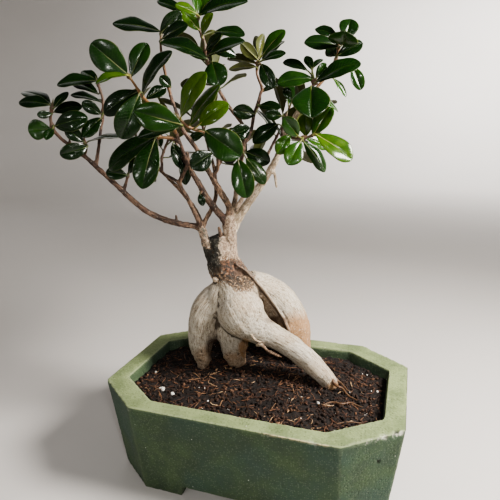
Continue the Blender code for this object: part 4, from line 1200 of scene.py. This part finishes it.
def young_stem(mottle):
    """Young stems and leaf stalks, reddish brown where they ripen and green at the tip."""
    finish, tree, at = new_finish("young_stem")
    patches, relief = mottled(mottle, at, 200.0, 900.0)
    tone = marked(tree, "tone")
    green = shades(
        tone, (0.0, (0.035, 0.055, 0.014)), (0.5, (0.11, 0.13, 0.025)), (1.0, (0.30, 0.29, 0.05)),
    )
    red = mix(tone, (0.055, 0.026, 0.019), (0.32, 0.155, 0.045))
    ripe = mask(marked(tree, "ripe"), 0.05, 0.6)
    colour = laid(green, (ripe, red), (scaled(patches, 0.3), (0.10, 0.075, 0.04)))
    return wear(finish, colour, mask(patches, 0.0, 1.0, 0.4, 0.55), relief, 0.15)


def peat(mottle):
    """Dark crumbly peat, each crumb in its own shade."""
    finish, tree, at = new_finish("peat")
    patches, relief = mottled(mottle, at, 240.0, 1200.0)
    grain = clouds(at, 620.0, 4.0, 0.7)
    damp = mask(clouds(at, 26.0, 2.0, 0.6), 0.42, 0.6, 0.75, 0.0)
    crumbs = shades(
        plus(grain, scaled(marked(tree, "lot"), 0.3, -0.12)), (0.36, (0.006, 0.0035, 0.0025)),
        (0.50, (0.026, 0.012, 0.007)), (0.62, (0.09, 0.042, 0.022)), (0.80, (0.24, 0.13, 0.07)),
    )
    colour = laid(crumbs, (scaled(patches, 0.3), (0.012, 0.006, 0.004)), (damp, (0.007, 0.004, 0.003)))
    return wear(finish, colour, mask(grain, 0.3, 0.7, 0.98, 0.8), relief, 0.9)


def fibre(mottle):
    """Peat fibres and bark chips, from dark red-brown to straw."""
    finish, tree, at = new_finish("peat_fibre")
    patches, relief = mottled(mottle, at, 260.0, 1100.0)
    strands = shades(
        marked(tree, "lot"), (0.0, (0.03, 0.011, 0.006)), (0.4, (0.10, 0.038, 0.018)),
        (0.75, (0.24, 0.115, 0.055)), (1.0, (0.52, 0.36, 0.21)),
    )
    colour = mix(scaled(patches, 0.5), strands, (0.05, 0.022, 0.012))
    return wear(finish, colour, mask(patches, 0.0, 1.0, 0.7, 0.9), relief, 0.3)


def perlite(mottle):
    finish, _, at = new_finish("perlite")
    patches, relief = mottled(mottle, at, 400.0, 1500.0)
    colour = mix(patches, (0.50, 0.47, 0.42), (0.78, 0.76, 0.72))
    return wear(finish, colour, mask(patches, 0.0, 1.0, 0.9, 0.75), relief, 0.4)


# The pot

POT_VOXEL = 1.5
POT_SMOOTHING = 3
DRAIN_SIDES = 48
EDGE_BAND = 5
RIM_BAND = 6
FOOT_FLAT = 0.9


def octagon(length, width, along, across, height):
    """The corners of a rectangle with its corners cut off, anticlockwise from the front left."""
    x, y = length / 2, width / 2
    ring = (
        (along - x, -y), (x - along, -y), (x, across - y), (x, y - across),
        (x - along, y), (along - x, y), (-x, y - across), (-x, across - y),
    )
    return [Vector((px, py, height)) for px, py in ring]


def cavity_section(height, clear):
    """The pot's inside at one height, `clear` smaller all round."""
    drop = (POT_HEIGHT - height) / (POT_HEIGHT - FLOOR_TOP) * CAVITY_INSET
    inset = 2 * (WALL + drop + clear)
    size = (POT_LENGTH - inset, POT_WIDTH - inset)
    return octagon(*size, CAVITY_CORNER_ALONG, CAVITY_CORNER_ACROSS, height)


def loft(name, sections):
    """A closed solid between two eight-sided sections, the lower one first."""
    bm = bmesh.new()
    bmesh.ops.create_circle(bm, segments=8, cap_ends=True, radius=1)
    face = bm.faces[:][0]
    for vert, corner in zip(face.verts, sections[0]):
        vert.co = corner
    grown = bmesh.ops.extrude_face_region(bm, geom=[face])["geom"]
    face = next(item for item in grown if isinstance(item, bmesh.types.BMFace))
    for vert in face.verts:
        corner = min(range(8), key=lambda i: (sections[0][i] - vert.co).length)
        vert.co = sections[1][corner]
    bmesh.ops.recalc_face_normals(bm, faces=bm.faces)
    return to_object(name, bm)


def block(name, size):
    bm = bmesh.new()
    bmesh.ops.create_cube(bm, size=1)
    bmesh.ops.scale(bm, vec=size, verts=bm.verts)
    return to_object(name, bm)


def remove(made):
    mesh = made.data
    bpy.data.objects.remove(made)
    bpy.data.meshes.remove(mesh)


def appears(places):
    """How far right and how far down places appear from the sighting place."""
    from_eye = places - np.array(EYE)
    depth = from_eye @ np.array(FORWARD) / REACH
    right, up = from_eye @ np.array(RIGHT) / depth, from_eye @ np.array(UP) / depth
    return VIEW_CENTRE + right, VIEW_CENTRE - up


def patch(seen, name):
    """A soft oval patch at a named spot."""
    right, down, wide, high, soft = SPOTS[name]
    reach = np.hypot((seen[0] - right) / wide, (seen[1] - down) / high)
    return np.clip((1 + soft - reach) / soft, 0, 1)


def build_pot(finish):
    size = (POT_LENGTH - 2 * BASE_INSET, POT_WIDTH - 2 * BASE_INSET)
    base = octagon(*size, BASE_CORNER_ALONG, BASE_CORNER_ACROSS, 0)
    rim = octagon(POT_LENGTH, POT_WIDTH, CORNER_ALONG, CORNER_ACROSS, POT_HEIGHT)
    pot = loft("pot_cast", [base, rim])
    cutters = [
        loft("hollow", [cavity_section(FLOOR_TOP, 0), cavity_section(POT_HEIGHT * 2, 0)]),
        block("slot_front_back", (SLOT_ALONG, POT_WIDTH * 2, 2 * FOOT_SLOT_HEIGHT)),
        block("slot_sides", (POT_LENGTH * 2, SLOT_ACROSS, 2 * FOOT_SLOT_HEIGHT)),
    ]
    for side in (-1, 1):
        bm = bmesh.new()
        bmesh.ops.create_cone(
            bm, cap_ends=True, segments=DRAIN_SIDES, depth=FLOOR_TOP * 2, radius1=DRAIN_RADIUS,
            radius2=DRAIN_RADIUS,
        )
        bmesh.ops.translate(bm, vec=(side * DRAIN_SPACING / 2, 0, FLOOR_TOP / 2), verts=bm.verts)
        cutters.append(to_object(f"drain_{side}", bm))
    for cutter in cutters:
        cut = pot.modifiers.new("cut", "BOOLEAN")
        cut.object = cutter
    set_modifiers(pot)
    for cutter in cutters:
        remove(cutter)
    one_skin(pot, POT_VOXEL, POT_SMOOTHING)
    mesh = pot.data
    places, outward = places_of(mesh), outward_of(mesh)
    bend = -hollowness(mesh, 8)
    edge = np.clip(bend / 0.5, 0, 1)
    crest = np.clip((bend / np.percentile(bend, 99.5) - 0.5) / 0.25, 0, 1)
    seen = appears(places)
    upper = places[:, 2] > POT_HEIGHT - EDGE_BAND
    lip = edge * upper * patch(seen, "worn_lip")
    corner = edge * upper * patch(seen, "worn_corner")
    # the two pits, sunk into the wall and darkened with painted shade
    pit = np.clip(patch(seen, "upper_pit") + patch(seen, "lower_pit"), 0, 1)
    chips = np.clip(waver(places, 6, 3) + 0.5 * waver(places, 2.6, 5) - 0.35, 0, 1) * (1 + lip + corner)
    pores = np.clip(waver(places, 3.4, 7) - 0.5, 0, 1)
    swell = 0.2 * waver(places, 42, 1) + 0.1 * waver(places, 9, 2)
    sunk = edge * (0.2 + 1.3 * chips) + pores * (0.3 + edge) + 1.1 * pit - swell
    places -= outward * sunk[:, None]
    places[:, 2] = np.where(places[:, 2] < FOOT_FLAT, 0, places[:, 2])
    move_to(mesh, places)
    write_marks(
        mesh, edge=edge,
        chip=np.clip(edge * chips * 2.5 * (0.25 * upper + 0.45 * corner), 0, 1), lip=lip * crest, pit=pit,
        rim=np.clip((outward[:, 2] - 0.5) / 0.35, 0, 1) * (places[:, 2] > POT_HEIGHT - RIM_BAND),
    )
    finish_piece(pot, [finish], ["pot"])


# Roots and branches

ROOT_SIDES = 28
ROOT_SPACING = 3.0
ROOT_VOXEL = 0.85
ROOT_SMOOTHING = 22
STRAND_SIDES = 10
STRAND_SPACING = 1.2
BRANCH_SIDES = 14
BRANCH_SPACING = 1.5
BRANCH_VOXEL = 0.7
BRANCH_SMOOTHING = 2
TWIG_RADIUS = 1.4
TWIG_PALENESS = 0.08
BATCHES = 60


def belonging(places, paths):
    """For each place, the path and row with the nearest skin, and where the place lies on that path."""
    owners, centres, radii, runs, crosses, ups = [], [], [], [], [], []
    for number, rows in enumerate(paths):
        _, across, up = directions_along(rows[:, :3])
        owners += [number] * len(rows)
        centres.append(rows[:, :3])
        radii.append(rows[:, 3])
        runs.append(runs_of(rows))
        crosses.append(across)
        ups.append(up)
    centres, radii, runs = np.vstack(centres), np.concatenate(radii), np.concatenate(runs)
    nearest = np.concatenate([
        np.argmin(np.linalg.norm(some[:, None] - centres, axis=2) - radii, axis=1)
        for some in np.array_split(places, BATCHES)
    ])
    offset = places - centres[nearest]
    across = (offset * np.vstack(crosses)[nearest]).sum(axis=1)
    up = (offset * np.vstack(ups)[nearest]).sum(axis=1)
    return np.array(owners)[nearest], nearest, np.stack([across, up, runs[nearest]], axis=1)


def sighted_rows(points, spacing, sight=sighted):
    """Smooth rows of place and radius through sighted points."""
    return smooth_rows([(*sight(*point[:3]), point[3]) for point in points], spacing)


def build_roots(finish):
    """The swollen roots and the stump, melted into one skin."""
    paths = [sighted_rows(points, ROOT_SPACING) for points in SWOLLEN.values()]
    bm = bmesh.new()
    for rows in paths:
        tube(bm, rounded_end(rows, 4), ROOT_SIDES)
    roots = to_object("roots_fine", bm)
    one_skin(roots, ROOT_VOXEL, ROOT_SMOOTHING)
    mesh = roots.data
    places = places_of(mesh)
    owner, _, at = belonging(places, paths)

    def of(*parts):
        """Which places belong to some of the swollen roots."""
        return np.isin(owner, [list(SWOLLEN).index(part) for part in parts])

    # The sawn top of the stump
    axis = unit(paths[0][1, :3] - paths[0][0, :3])
    above = (places - np.array(sighted(*SAW_CUT))) @ axis
    stump, behind = of("stump"), of("back_root", "ridge")
    sawn = stump & (above < 0.8)
    places[sawn] -= axis * np.minimum(above[sawn], 0)[:, None]
    move_to(mesh, places)

    # Where the stump's bark, its bare wood and the rough graft show
    outward = outward_of(mesh)
    seen = appears(places)
    ragged = 3 * waver(places, 5, 12)
    upper = np.clip((WOOD_END - seen[1] + ragged) / 14, 0, 1) * ~behind
    left_trunk = of("graft_a") * np.clip((LEFT_WOOD_END - seen[1]) / 5, 0, 1)
    leftward = np.clip((BARK_SIDE - seen[0] + ragged) / 5, 0, 1)
    trunk = np.clip(upper * (1 - leftward) + left_trunk, 0, 1)
    bark = np.clip((BARK_END - seen[1] + ragged) / 12, 0, 1) * leftward * (1 - 0.65 * left_trunk)
    graft = np.clip(patch(seen, "graft") + 0.8 * patch(seen, "graft_side"), 0, 1)

    # The cord down the back root, and the relief of everything
    cord = np.array(SWOLLEN["ridge"])
    left_of_cord = np.interp(seen[1], cord[:, 1], cord[:, 0]) - seen[0]
    along_cord = behind & (seen[1] > CORD_TOP) & (seen[1] < CORD_END)
    cord_line = along_cord * np.exp(-((left_of_cord + 0.3) / 1.2) ** 2)
    # a groove beside the cord, with painted shade laid along it
    cord_groove_shade = along_cord * np.exp(-((left_of_cord - 2.4) / 1.0) ** 2)
    wrinkles = drawn_out(at, 2.6, 15.0, 4) + 0.6 * drawn_out(at, 1.5, 8.0, 9)
    rings = drawn_out(at, 9.0, 1.9, 6)
    lumps = 0.75 * waver(places, 15, 2) + 0.3 * waver(places, 6, 8)
    rough = np.clip(graft + bark + 0.5 * trunk, 0, 1)
    flat = np.clip((above + 1.5) / 1.5, 0, 1)
    coarse = 0.5 * waver(places, 1.7, 5) + 0.45 * waver(places, 3.2, 3)
    knobs = patch(seen, "left_knobs") + patch(seen, "middle_knobs")
    height = lumps + 0.34 * wrinkles + 0.24 * rings + rough * coarse + 0.35 * graft * coarse
    height += knobs * (0.8 * waver(places, 3.2, 3) + 0.45 * waver(places, 1.8, 7))
    height -= 2.6 * patch(seen, "fork_dent")
    height += 0.7 * cord_line - 0.6 * cord_groove_shade
    places += outward * (height * np.where(stump, flat, 1))[:, None]
    move_to(mesh, places)

    # Where the roots are stained, darker towards the soil, and painted shade in the fork, graft slot and
    # groove
    tan = behind * patch(seen, "back_tan") + patch(seen, "end_tan")
    tan += 0.5 * patch(seen, "left_tan") + 1.3 * patch(seen, "fork_tan")
    tan += 0.6 * patch(seen, "middle_tan")
    in_front = of("front_bulb", "right_leg", "neck", "stump", "shoulder")
    dirt = np.clip((SOIL_LEVEL + 7 - places[:, 2]) / 7, 0, 1) + 0.9 * patch(seen, "fork_dirt")
    dirt += patch(seen, "graft_dirt") + patch(seen, "back_dirt") + cord_groove_shade
    write_marks(
        # hollow holds painted shade for the creases between the roots
        mesh, root_at=at, hollow=np.clip(hollowness(mesh, 10) + 0.5, 0, 1), graft=graft, bark=bark,
        trunk=np.clip(trunk + 0.6 * left_trunk, 0, 1), tan=np.clip(tan, 0, 1),
        # inner holds painted shade on the face left of the cord
        inner=np.clip(left_of_cord + 0.5, 0, 1) * ~in_front * patch(seen, "back_shade"),
        cord=cord_line, red=graft * patch(seen, "graft_red"), dirt=np.clip(dirt, 0, 1),
    )
    finish_piece(roots, [finish], ["roots_and_branches"])


def build_rootlets(finishes):
    """Thin pale strands that hang from the swollen roots, and reddish ones that lie on the soil."""
    bm = bmesh.new()
    hanging = [sighted_rows(points, STRAND_SPACING) for points in ROOT_STRANDS]
    lying = [sighted_rows(points, STRAND_SPACING, sighted_at_height) for points in SURFACE_ROOTS]
    for number, rows in enumerate(hanging + lying):
        before = len(bm.faces)
        rows[:, :3] += 0.4 * np.stack([waver(rows[:, :3], 4, seed) for seed in (1, 2, 3)], axis=1)
        rows[:, 3] *= 1 + 0.25 * waver(rows[:, :3], 2, 4)
        tube(bm, rounded_end(rows), STRAND_SIDES)
        for face in list(bm.faces)[before:]:
            face.material_index = int(number >= len(hanging))
    strands = to_object("rootlets", bm)
    mesh = strands.data
    places = places_of(mesh)
    write_marks(
        mesh, root_at=places, pale=np.where(appears(places)[0] > DARKER_STRANDS, 0.45, 0.8),
        tone=np.full(len(places), 0.2), ripe=np.ones(len(places)),
    )
    finish_piece(strands, finishes, ["roots_and_branches"])


def build_branches(shoots, finish):
    """The branches with every woody twig, with a raised ring at each old leaf scar."""
    paths, pale = [], []
    for name, (thickness, pale_foot, pale_end, points) in BRANCHES.items():
        rows = sighted_rows(points, BRANCH_SPACING)
        draw = random.Random(name)
        run = runs_of(rows)
        ring = draw.uniform(4, 8)
        while ring < run[-1]:
            rows[:, 3] *= 1 + draw.uniform(0.08, 0.2) * np.exp(-((run - ring) / 1.3) ** 2)
            ring += draw.uniform(5, 13)
        rows[:, 3] *= thickness
        paths.append(rows)
        pale.append(np.linspace(pale_foot, pale_end, len(rows)))
    for shoot in shoots.values():
        woody = along_path(shoot["path"], 0, woody_length(shoot["path"]))
        rows = smooth_rows([(*point, TWIG_RADIUS) for point in woody], BRANCH_SPACING)
        paths.append(rows)
        pale.append(np.full(len(rows), TWIG_PALENESS))
    bm = bmesh.new()
    for rows in paths:
        tube(bm, rounded_end(rows), BRANCH_SIDES)
    branches = to_object("branches_fine", bm)
    one_skin(branches, BRANCH_VOXEL, BRANCH_SMOOTHING)
    mesh = branches.data
    places, outward = places_of(mesh), outward_of(mesh)
    _, nearest, at = belonging(places, paths)
    streaks = drawn_out(at, 1.3, 9.0, 4)
    places += outward * (0.12 * streaks + 0.18 * waver(places, 2.8, 2))[:, None]
    move_to(mesh, places)
    paleness = np.concatenate(pale)[nearest] + 0.15 * waver(places, 9, 6)
    write_marks(mesh, root_at=at, pale=np.clip(paleness, 0, 1))
    finish_piece(branches, [finish], ["roots_and_branches"])


# Leaves and young stems

BLADE_ROWS = 17
ACROSS = (1, 0.93, 0.72, 0.45, 0.2, 0.06, 0, -0.06, -0.2, -0.45, -0.72, -0.93, -1)
LEAF_THICKNESS = 0.5
STALK_SIDES = 6
STALK_SPACING = 2.5
STEM_SIDES = 10
STEM_SPACING = 1.2
STEM_START, STEM_END = 1.3, 0.85

# The midrib under a blade: share of the blade, radius. The bud: how far past the stem's end, radius
MIDRIB = ((0.2, 0.5), (0.45, 0.36), (0.75, 0.16))
BUD = ((1.2, 1.0), (3, 0.75), (5, 0.4), (6.5, 0.1))


def add_blade(bm, leaf, layers, draw):
    """A blade folded along its midrib, each half a little bulged and wavy, thinner at its margin."""
    base, tip, width = leaf.placed()
    ahead, facing, side = (np.array(way) for way in leaf.directions())
    length = (tip - base).length
    s = 0.5 - 0.5 * np.cos(np.pi * (np.arange(BLADE_ROWS) + 0.5) / BLADE_ROWS)
    half = width / 2 * np.sin(np.pi * s ** draw.uniform(1.16, 1.42)) ** draw.uniform(0.48, 0.62)
    u = np.array([*ACROSS, *ACROSS[-2:0:-1]])
    top = np.where(np.arange(len(u)) < len(ACROSS), -1.0, 1.0)
    arch = LEAF_ARCH * draw.uniform(0.7, 1.25) * length * np.sin(np.pi * s)
    fold, roll = draw.uniform(0.24, 0.4), draw.uniform(0.14, 0.24)
    phase = np.where(u > 0, draw.uniform(0, 6), draw.uniform(0, 6))
    wave = 0.05 * np.sin(2 * np.pi * s[:, None] * draw.uniform(1.4, 2.4) + phase) * u**2
    rise = half[:, None] * (fold * np.abs(u) - roll * u**2 + wave)
    thick = LEAF_THICKNESS / 2 * (1 - 0.85 * u**2) * top
    rib = np.exp(-((u * half[:, None] / 0.45) ** 2)) * np.sin(np.pi * s[:, None]) ** 0.5
    groove = np.where(top > 0, -0.22, -0.35) * rib
    lift = arch[:, None] + rise + thick + groove
    turn = draw.uniform(-0.3, 0.3) * (s - 0.5)
    across = side * np.cos(turn)[:, None] + facing * np.sin(turn)[:, None]
    out = (u * half[:, None])[..., None] * across[:, None]
    places = np.array(base) + (s * length)[:, None, None] * ahead + out + lift[..., None] * facing
    spread = np.ones_like(lift)
    marks = {"blade_u": u, "blade_s": s[:, None], "top": top * 0.5 + 0.5, "tone": leaf.tone}
    marks["lot"] = draw.random()
    skin(bm, places, [(layers[name], values * spread) for name, values in marks.items()])


def add_stalk(bm, leaf, layers):
    """The leaf stalk, which runs on under the blade as its midrib."""
    base, tip, _ = leaf.placed()
    ahead, facing, _ = leaf.directions()
    length = (tip - base).length
    reach = (base - leaf.stalk).length
    rows = [(*leaf.stalk, 0.85)]
    if reach > 2.5:
        middle = leaf.stalk.lerp(base, 0.55) - ahead * reach * 0.1
        rows.append((*middle, 0.62))
    rows.append((*base, 0.6))
    for share, radius in MIDRIB:
        arch = LEAF_ARCH * length * math.sin(math.pi * share)
        rows.append((*(base + ahead * length * share + facing * (arch * 0.9 - 0.35)), radius))
    rows = smooth_rows(rows, STALK_SPACING)
    marks = [(layers["tone"], np.full(len(rows), leaf.tone)), (layers["ripe"], np.zeros(len(rows)))]
    tube(bm, rows, STALK_SIDES, marks)


def build_shoot(name, shoot, finishes):
    """A young stem with its leaves and the pointed bud at its tip, as one piece."""
    draw = random.Random(name)
    bm = bmesh.new()
    layers = {
        mark: bm.verts.layers.float.new(mark)
        for mark in ("blade_u", "blade_s", "top", "tone", "lot", "ripe")
    }
    for leaf in shoot["leaves"]:
        add_blade(bm, leaf, layers, draw)
    blades = len(bm.faces)
    for leaf in shoot["leaves"]:
        add_stalk(bm, leaf, layers)
    stem = along_path(shoot["path"], woody_length(shoot["path"]) - 1.5)
    rows = smooth_rows([(*point, 1.0) for point in stem], STEM_SPACING)
    rows[:, 3] = np.linspace(STEM_START, STEM_END, len(rows))
    for leaf in shoot["leaves"]:
        nearness = np.linalg.norm(rows[:, :3] - np.array(leaf.stalk), axis=1)
        rows[:, 3] += 0.35 * np.exp(-((nearness / 1.4) ** 2))
    ahead = unit(rows[-1, :3] - rows[-2, :3])
    rows = np.vstack([rows, [[*(rows[-1, :3] + ahead * step), radius] for step, radius in BUD]])
    ripe = np.clip(np.linspace(2.5, 0.1, len(rows)), 0, 1)
    tone = np.full(len(rows), STEM_TINTS.get(name, OTHER_STEM_TINT))
    tube(bm, rows, STEM_SIDES, [(layers["ripe"], ripe), (layers["tone"], tone)])
    for face in list(bm.faces)[blades:]:
        face.material_index = 1
    finish_piece(to_object(name + "_fine", bm), finishes, [name])


# Soil

SOIL_CELL = 1.5
CRUMBS = 2100
FIBRES = 820
CHIPS = 90
PERLITES = 26
SCATTER_X, SCATTER_Y = 105, 62
FIBRE_SIDES = 5
PERLITE_LIFT = 1.5
PERLITE_SQUASH = 0.8

# The soil's finishes, by their place in its list
PEAT, FIBRE, PERLITE = 0, 1, 2


def soil_height(x, y):
    """The top of the peat, as in its solid."""
    from_crown = ((x - CROWN_X) ** 2 + (y - CROWN_Y) ** 2) / CROWN_SPREAD**2
    height = SOIL_LEVEL + SOIL_CROWN * math.exp(-from_crown)
    for lump, spread in LUMPS:
        height += lump * noise.noise(Vector((x, y, spread)) / spread)
    return height


def add_bed(bm):
    """The peat itself: a crumbly top cut to the pot's inside, closed down to the pot's floor."""
    level, floor = cavity_section(SOIL_LEVEL, CLEAR), cavity_section(FLOOR_TOP, CLEAR + 0.6)
    columns, rows = round(POT_LENGTH / SOIL_CELL), round(POT_WIDTH / SOIL_CELL)
    bmesh.ops.create_grid(bm, x_segments=columns, y_segments=rows, size=0.5)
    bmesh.ops.scale(bm, vec=(POT_LENGTH, POT_WIDTH, 1), verts=bm.verts)
    for a, b in zip(level, level[1:] + level[:1]):
        way = (b - a).cross(Vector((0, 0, 1)))
        bmesh.ops.bisect_plane(
            bm, geom=bm.verts[:] + bm.edges[:] + bm.faces[:], plane_co=(a.x, a.y, 0), plane_no=way,
            clear_outer=True,
        )
    for vert in bm.verts:
        x, y = vert.co.x, vert.co.y
        clod = noise.noise(Vector((x, y, 3)) / 4.2) + 0.7 * noise.noise(Vector((x, y, 9)) / 2.1)
        vert.co.z = soil_height(x, y) + 1.5 * clod
    grown = bmesh.ops.extrude_face_region(bm, geom=bm.faces[:])["geom"]
    narrow = (floor[2].x / level[2].x, floor[4].y / level[4].y)
    for item in grown:
        if isinstance(item, bmesh.types.BMVert):
            item.co.x *= narrow[0]
            item.co.y *= narrow[1]
            item.co.z = FLOOR_TOP + CLEAR
    bmesh.ops.recalc_face_normals(bm, faces=bm.faces)


class Scatter:
    """Loose bits strewn over the soil, each with a lot of its own for its shade."""

    def __init__(self, bm, seed):
        self.bm = bm
        self.draw = random.Random(seed)
        self.ring = cavity_section(SOIL_LEVEL, 0)

    def spot(self, clear):
        """A random spot that lies clear of the pot's walls."""
        while True:
            x = self.draw.uniform(-SCATTER_X, SCATTER_X)
            y = self.draw.uniform(-SCATTER_Y, SCATTER_Y)
            sides = zip(self.ring, self.ring[1:] + self.ring[:1])
            if all((b - a).xy.normalized().cross(Vector((x, y)) - a.xy) > clear for a, b in sides):
                return x, y

    def turned(self):
        axis = Vector([self.draw.gauss(0, 1) for _ in range(3)]).normalized()
        return Matrix.Rotation(self.draw.uniform(0, 2 * math.pi), 3, axis)

    def drop(self, small, index):
        """Adds a shaped bit in one finish and one shade."""
        shade = small.verts.layers.float.new("lot")
        lot = self.draw.random() ** (2.2 if index == FIBRE else 1)
        for vert in small.verts:
            vert[shade] = lot
        for face in small.faces:
            face.material_index = index
        pour(self.bm, small)

    def lump(self, size, subdivisions, index, squash, spot=None):
        small = bmesh.new()
        bmesh.ops.create_icosphere(small, subdivisions=subdivisions, radius=size)
        x, y = spot or self.spot(size + 0.6)
        centre = Vector((x, y, soil_height(x, y) + size * self.draw.uniform(0.1, 0.7)))
        turn = self.turned()
        for vert in small.verts:
            shape = Vector((vert.co.x, vert.co.y, vert.co.z * squash))
            vert.co = centre + turn @ shape * self.draw.uniform(0.75, 1.2)
        self.drop(small, index)

    def chip(self, size):
        small = bmesh.new()
        bmesh.ops.create_cube(small, size=1)
        bmesh.ops.subdivide_edges(small, edges=small.edges, cuts=1)
        x, y = self.spot(size + 0.6)
        centre = Vector((x, y, soil_height(x, y) + 0.9))
        turn = Matrix.Rotation(self.draw.uniform(0, 6.3), 3, "Z")
        turn = turn @ Matrix.Rotation(self.draw.gauss(0, 0.4), 3, "X")
        for vert in small.verts:
            shape = Vector((vert.co.x * size, vert.co.y * size * 0.4, vert.co.z * size * 0.16))
            vert.co = centre + turn @ shape * self.draw.uniform(0.8, 1.15)
        self.drop(small, FIBRE)

    def fibre(self):
        size = self.draw.uniform(2.5, 8) * self.draw.uniform(1, 1.7)
        x, y = self.spot(size / 2 + 1)
        turn, bend = self.draw.uniform(0, 2 * math.pi), self.draw.uniform(-0.3, 0.3)
        radius, lift = self.draw.uniform(0.17, 0.42), self.draw.uniform(0.2, 1.3)
        rows = []
        for share in (-0.5, -0.3, -0.1, 0.1, 0.3, 0.5):
            along = Vector((math.cos(turn), math.sin(turn))) * share * size
            aside = Vector((-math.sin(turn), math.cos(turn))) * bend * size * (0.25 - share**2) * 2
            px, py = x + along.x + aside.x, y + along.y + aside.y
            rise = lift + self.draw.uniform(-0.3, 0.5)
            rows.append((px, py, soil_height(px, py) + rise, radius * (1.15 - abs(share))))
        small = bmesh.new()
        tube(small, np.array(rows), FIBRE_SIDES)
        self.drop(small, FIBRE)


def build_soil(finishes):
    bm = bmesh.new()
    bm.verts.layers.float.new("lot")
    add_bed(bm)
    loose = Scatter(bm, 11)
    for _ in range(CRUMBS):
        loose.lump(loose.draw.uniform(0.6, 1.5) ** 1.5, 1, PEAT, loose.draw.uniform(0.5, 1))
    for _ in range(FIBRES):
        loose.fibre()
    for _ in range(CHIPS):
        loose.chip(loose.draw.uniform(1.5, 4.5))
    for _ in range(PERLITES):
        loose.lump(loose.draw.uniform(0.35, 0.9), 1, PERLITE, PERLITE_SQUASH)
    for right, down, size in PERLITE_SPOTS:
        spot = sighted_at_height(right, down, SOIL_LEVEL + PERLITE_LIFT)
        loose.lump(size, 2, PERLITE, PERLITE_SQUASH, (spot.x, spot.y))
    finish_piece(to_object("soil_fine", bm), finishes, ["soil"])


# Floor, light and camera

FLOOR_HALF = 5
FLOOR_CELLS = 100
FLAT_RADIUS = 1.9
FLOOR_RISE = 0.4
NEUTRAL = (1.0, 0.98, 0.96)
PLANT_MIDDLE = (0, 0, 0.2)

# Round lamps aimed at the plant: name, place and width in metres, watts, colour
LAMPS = (
    ("key", (0.52, -0.04, 0.54), 0.22, 11.5, (1.0, 0.955, 0.90)),
    ("glint", (0.39, -0.63, 0.53), 0.075, 1.6, NEUTRAL),
    ("glint_front", (-0.06, -0.76, 0.40), 0.05, 0.55, NEUTRAL),
    ("glint_left", (-0.38, -0.61, 0.46), 0.05, 0.4, NEUTRAL),
    ("fill", (-1.2, -1.3, 1.0), 1.4, 0.6, (0.93, 0.96, 1.0)),
    ("back", (-0.7, 1.1, 1.2), 1.5, 3.5, NEUTRAL),
)

# Lamps that light the floor where it rises: name, the way from the pot, watts
WASHES = (("behind", 0.3, 1, 110), ("left", -1, 0, 22), ("right", 1, 0, 32), ("front", 0, -1, 7))
WASH_AWAY, WASH_HEIGHT, WASH_WIDTH = 1.9, 1.9, 1.2
WASH_AIM_AWAY, WASH_AIM_HEIGHT = 3.6, 0.7
SKY_COLOUR = (0.86, 0.84, 0.82, 1)
SKY_STRENGTH = 0.07
PICTURE_SIDE = 500
SENSOR_WIDTH = 36


def build_stage():
    """A pale floor that curves up all round, well behind the pot."""
    bm = bmesh.new()
    bmesh.ops.create_grid(bm, x_segments=FLOOR_CELLS, y_segments=FLOOR_CELLS, size=FLOOR_HALF)
    for vert in bm.verts:
        vert.co.z = FLOOR_RISE * max(0.0, vert.co.xy.length - FLAT_RADIUS) ** 2
    floor = to_object("floor", bm)
    floor.data.shade_smooth()
    finish, tree, at = new_finish("pale_floor")
    shader = tree.nodes["Principled BSDF"]
    colour = mix(clouds(at, 3.0), (0.60, 0.575, 0.55), (0.64, 0.615, 0.59))
    tree.links.new(colour, shader.inputs["Base Color"])
    shader.inputs["Roughness"].default_value = 0.85
    floor.data.materials.append(finish)


def add_light(name, place, size, power, colour=NEUTRAL, aim=PLANT_MIDDLE):
    lamp = bpy.data.lights.new(name, "AREA")
    lamp.shape = "DISK"
    lamp.size = size
    lamp.energy = power
    lamp.color = colour
    made = link(name, lamp)
    made.location = place
    made.rotation_euler = (Vector(aim) - Vector(place)).to_track_quat("-Z", "Y").to_euler()
    made.visible_camera = False


def build_light():
    for lamp in LAMPS:
        add_light(*lamp)
    for name, x, y, power in WASHES:
        place = (WASH_AWAY * x, WASH_AWAY * y, WASH_HEIGHT)
        aim = (WASH_AIM_AWAY * x, WASH_AIM_AWAY * y, WASH_AIM_HEIGHT)
        add_light(f"wash_{name}", place, WASH_WIDTH, power, aim=aim)
    world = bpy.data.worlds.new("soft_sky")
    world.use_nodes = True
    sky = world.node_tree.nodes["Background"]
    sky.inputs["Color"].default_value = SKY_COLOUR
    sky.inputs["Strength"].default_value = SKY_STRENGTH
    bpy.context.scene.world = world
    bpy.context.scene.view_settings.look = "AgX - Medium High Contrast"


def build_camera():
    lens = bpy.data.cameras.new("camera")
    lens.sensor_width = SENSOR_WIDTH
    lens.lens = REACH / PICTURE_SIDE * SENSOR_WIDTH
    lens.clip_start, lens.clip_end = 0.05, 20
    made = link("camera", lens)
    turn = Matrix((RIGHT, UP, -FORWARD)).transposed()
    made.matrix_world = Matrix.Translation((EYE * MM) + POT_PLACE) @ turn.to_4x4()
    bpy.context.scene.camera = made


def main():
    build_camera()
    mottle, specks = mottle_group(), specks_group()
    shoots = plan_shoots()
    build_pot(concrete(mottle, specks))
    build_roots(root_skin(mottle, specks))
    twigs = twig_bark(specks)
    build_branches(shoots, twigs)
    build_soil([peat(mottle), fibre(mottle), perlite(mottle)])
    finishes = [leaf_skin(mottle), young_stem(mottle)]
    build_rootlets([twigs, finishes[1]])
    for name, shoot in shoots.items():
        build_shoot(name, shoot, finishes)
    build_stage()
    build_light()


main()
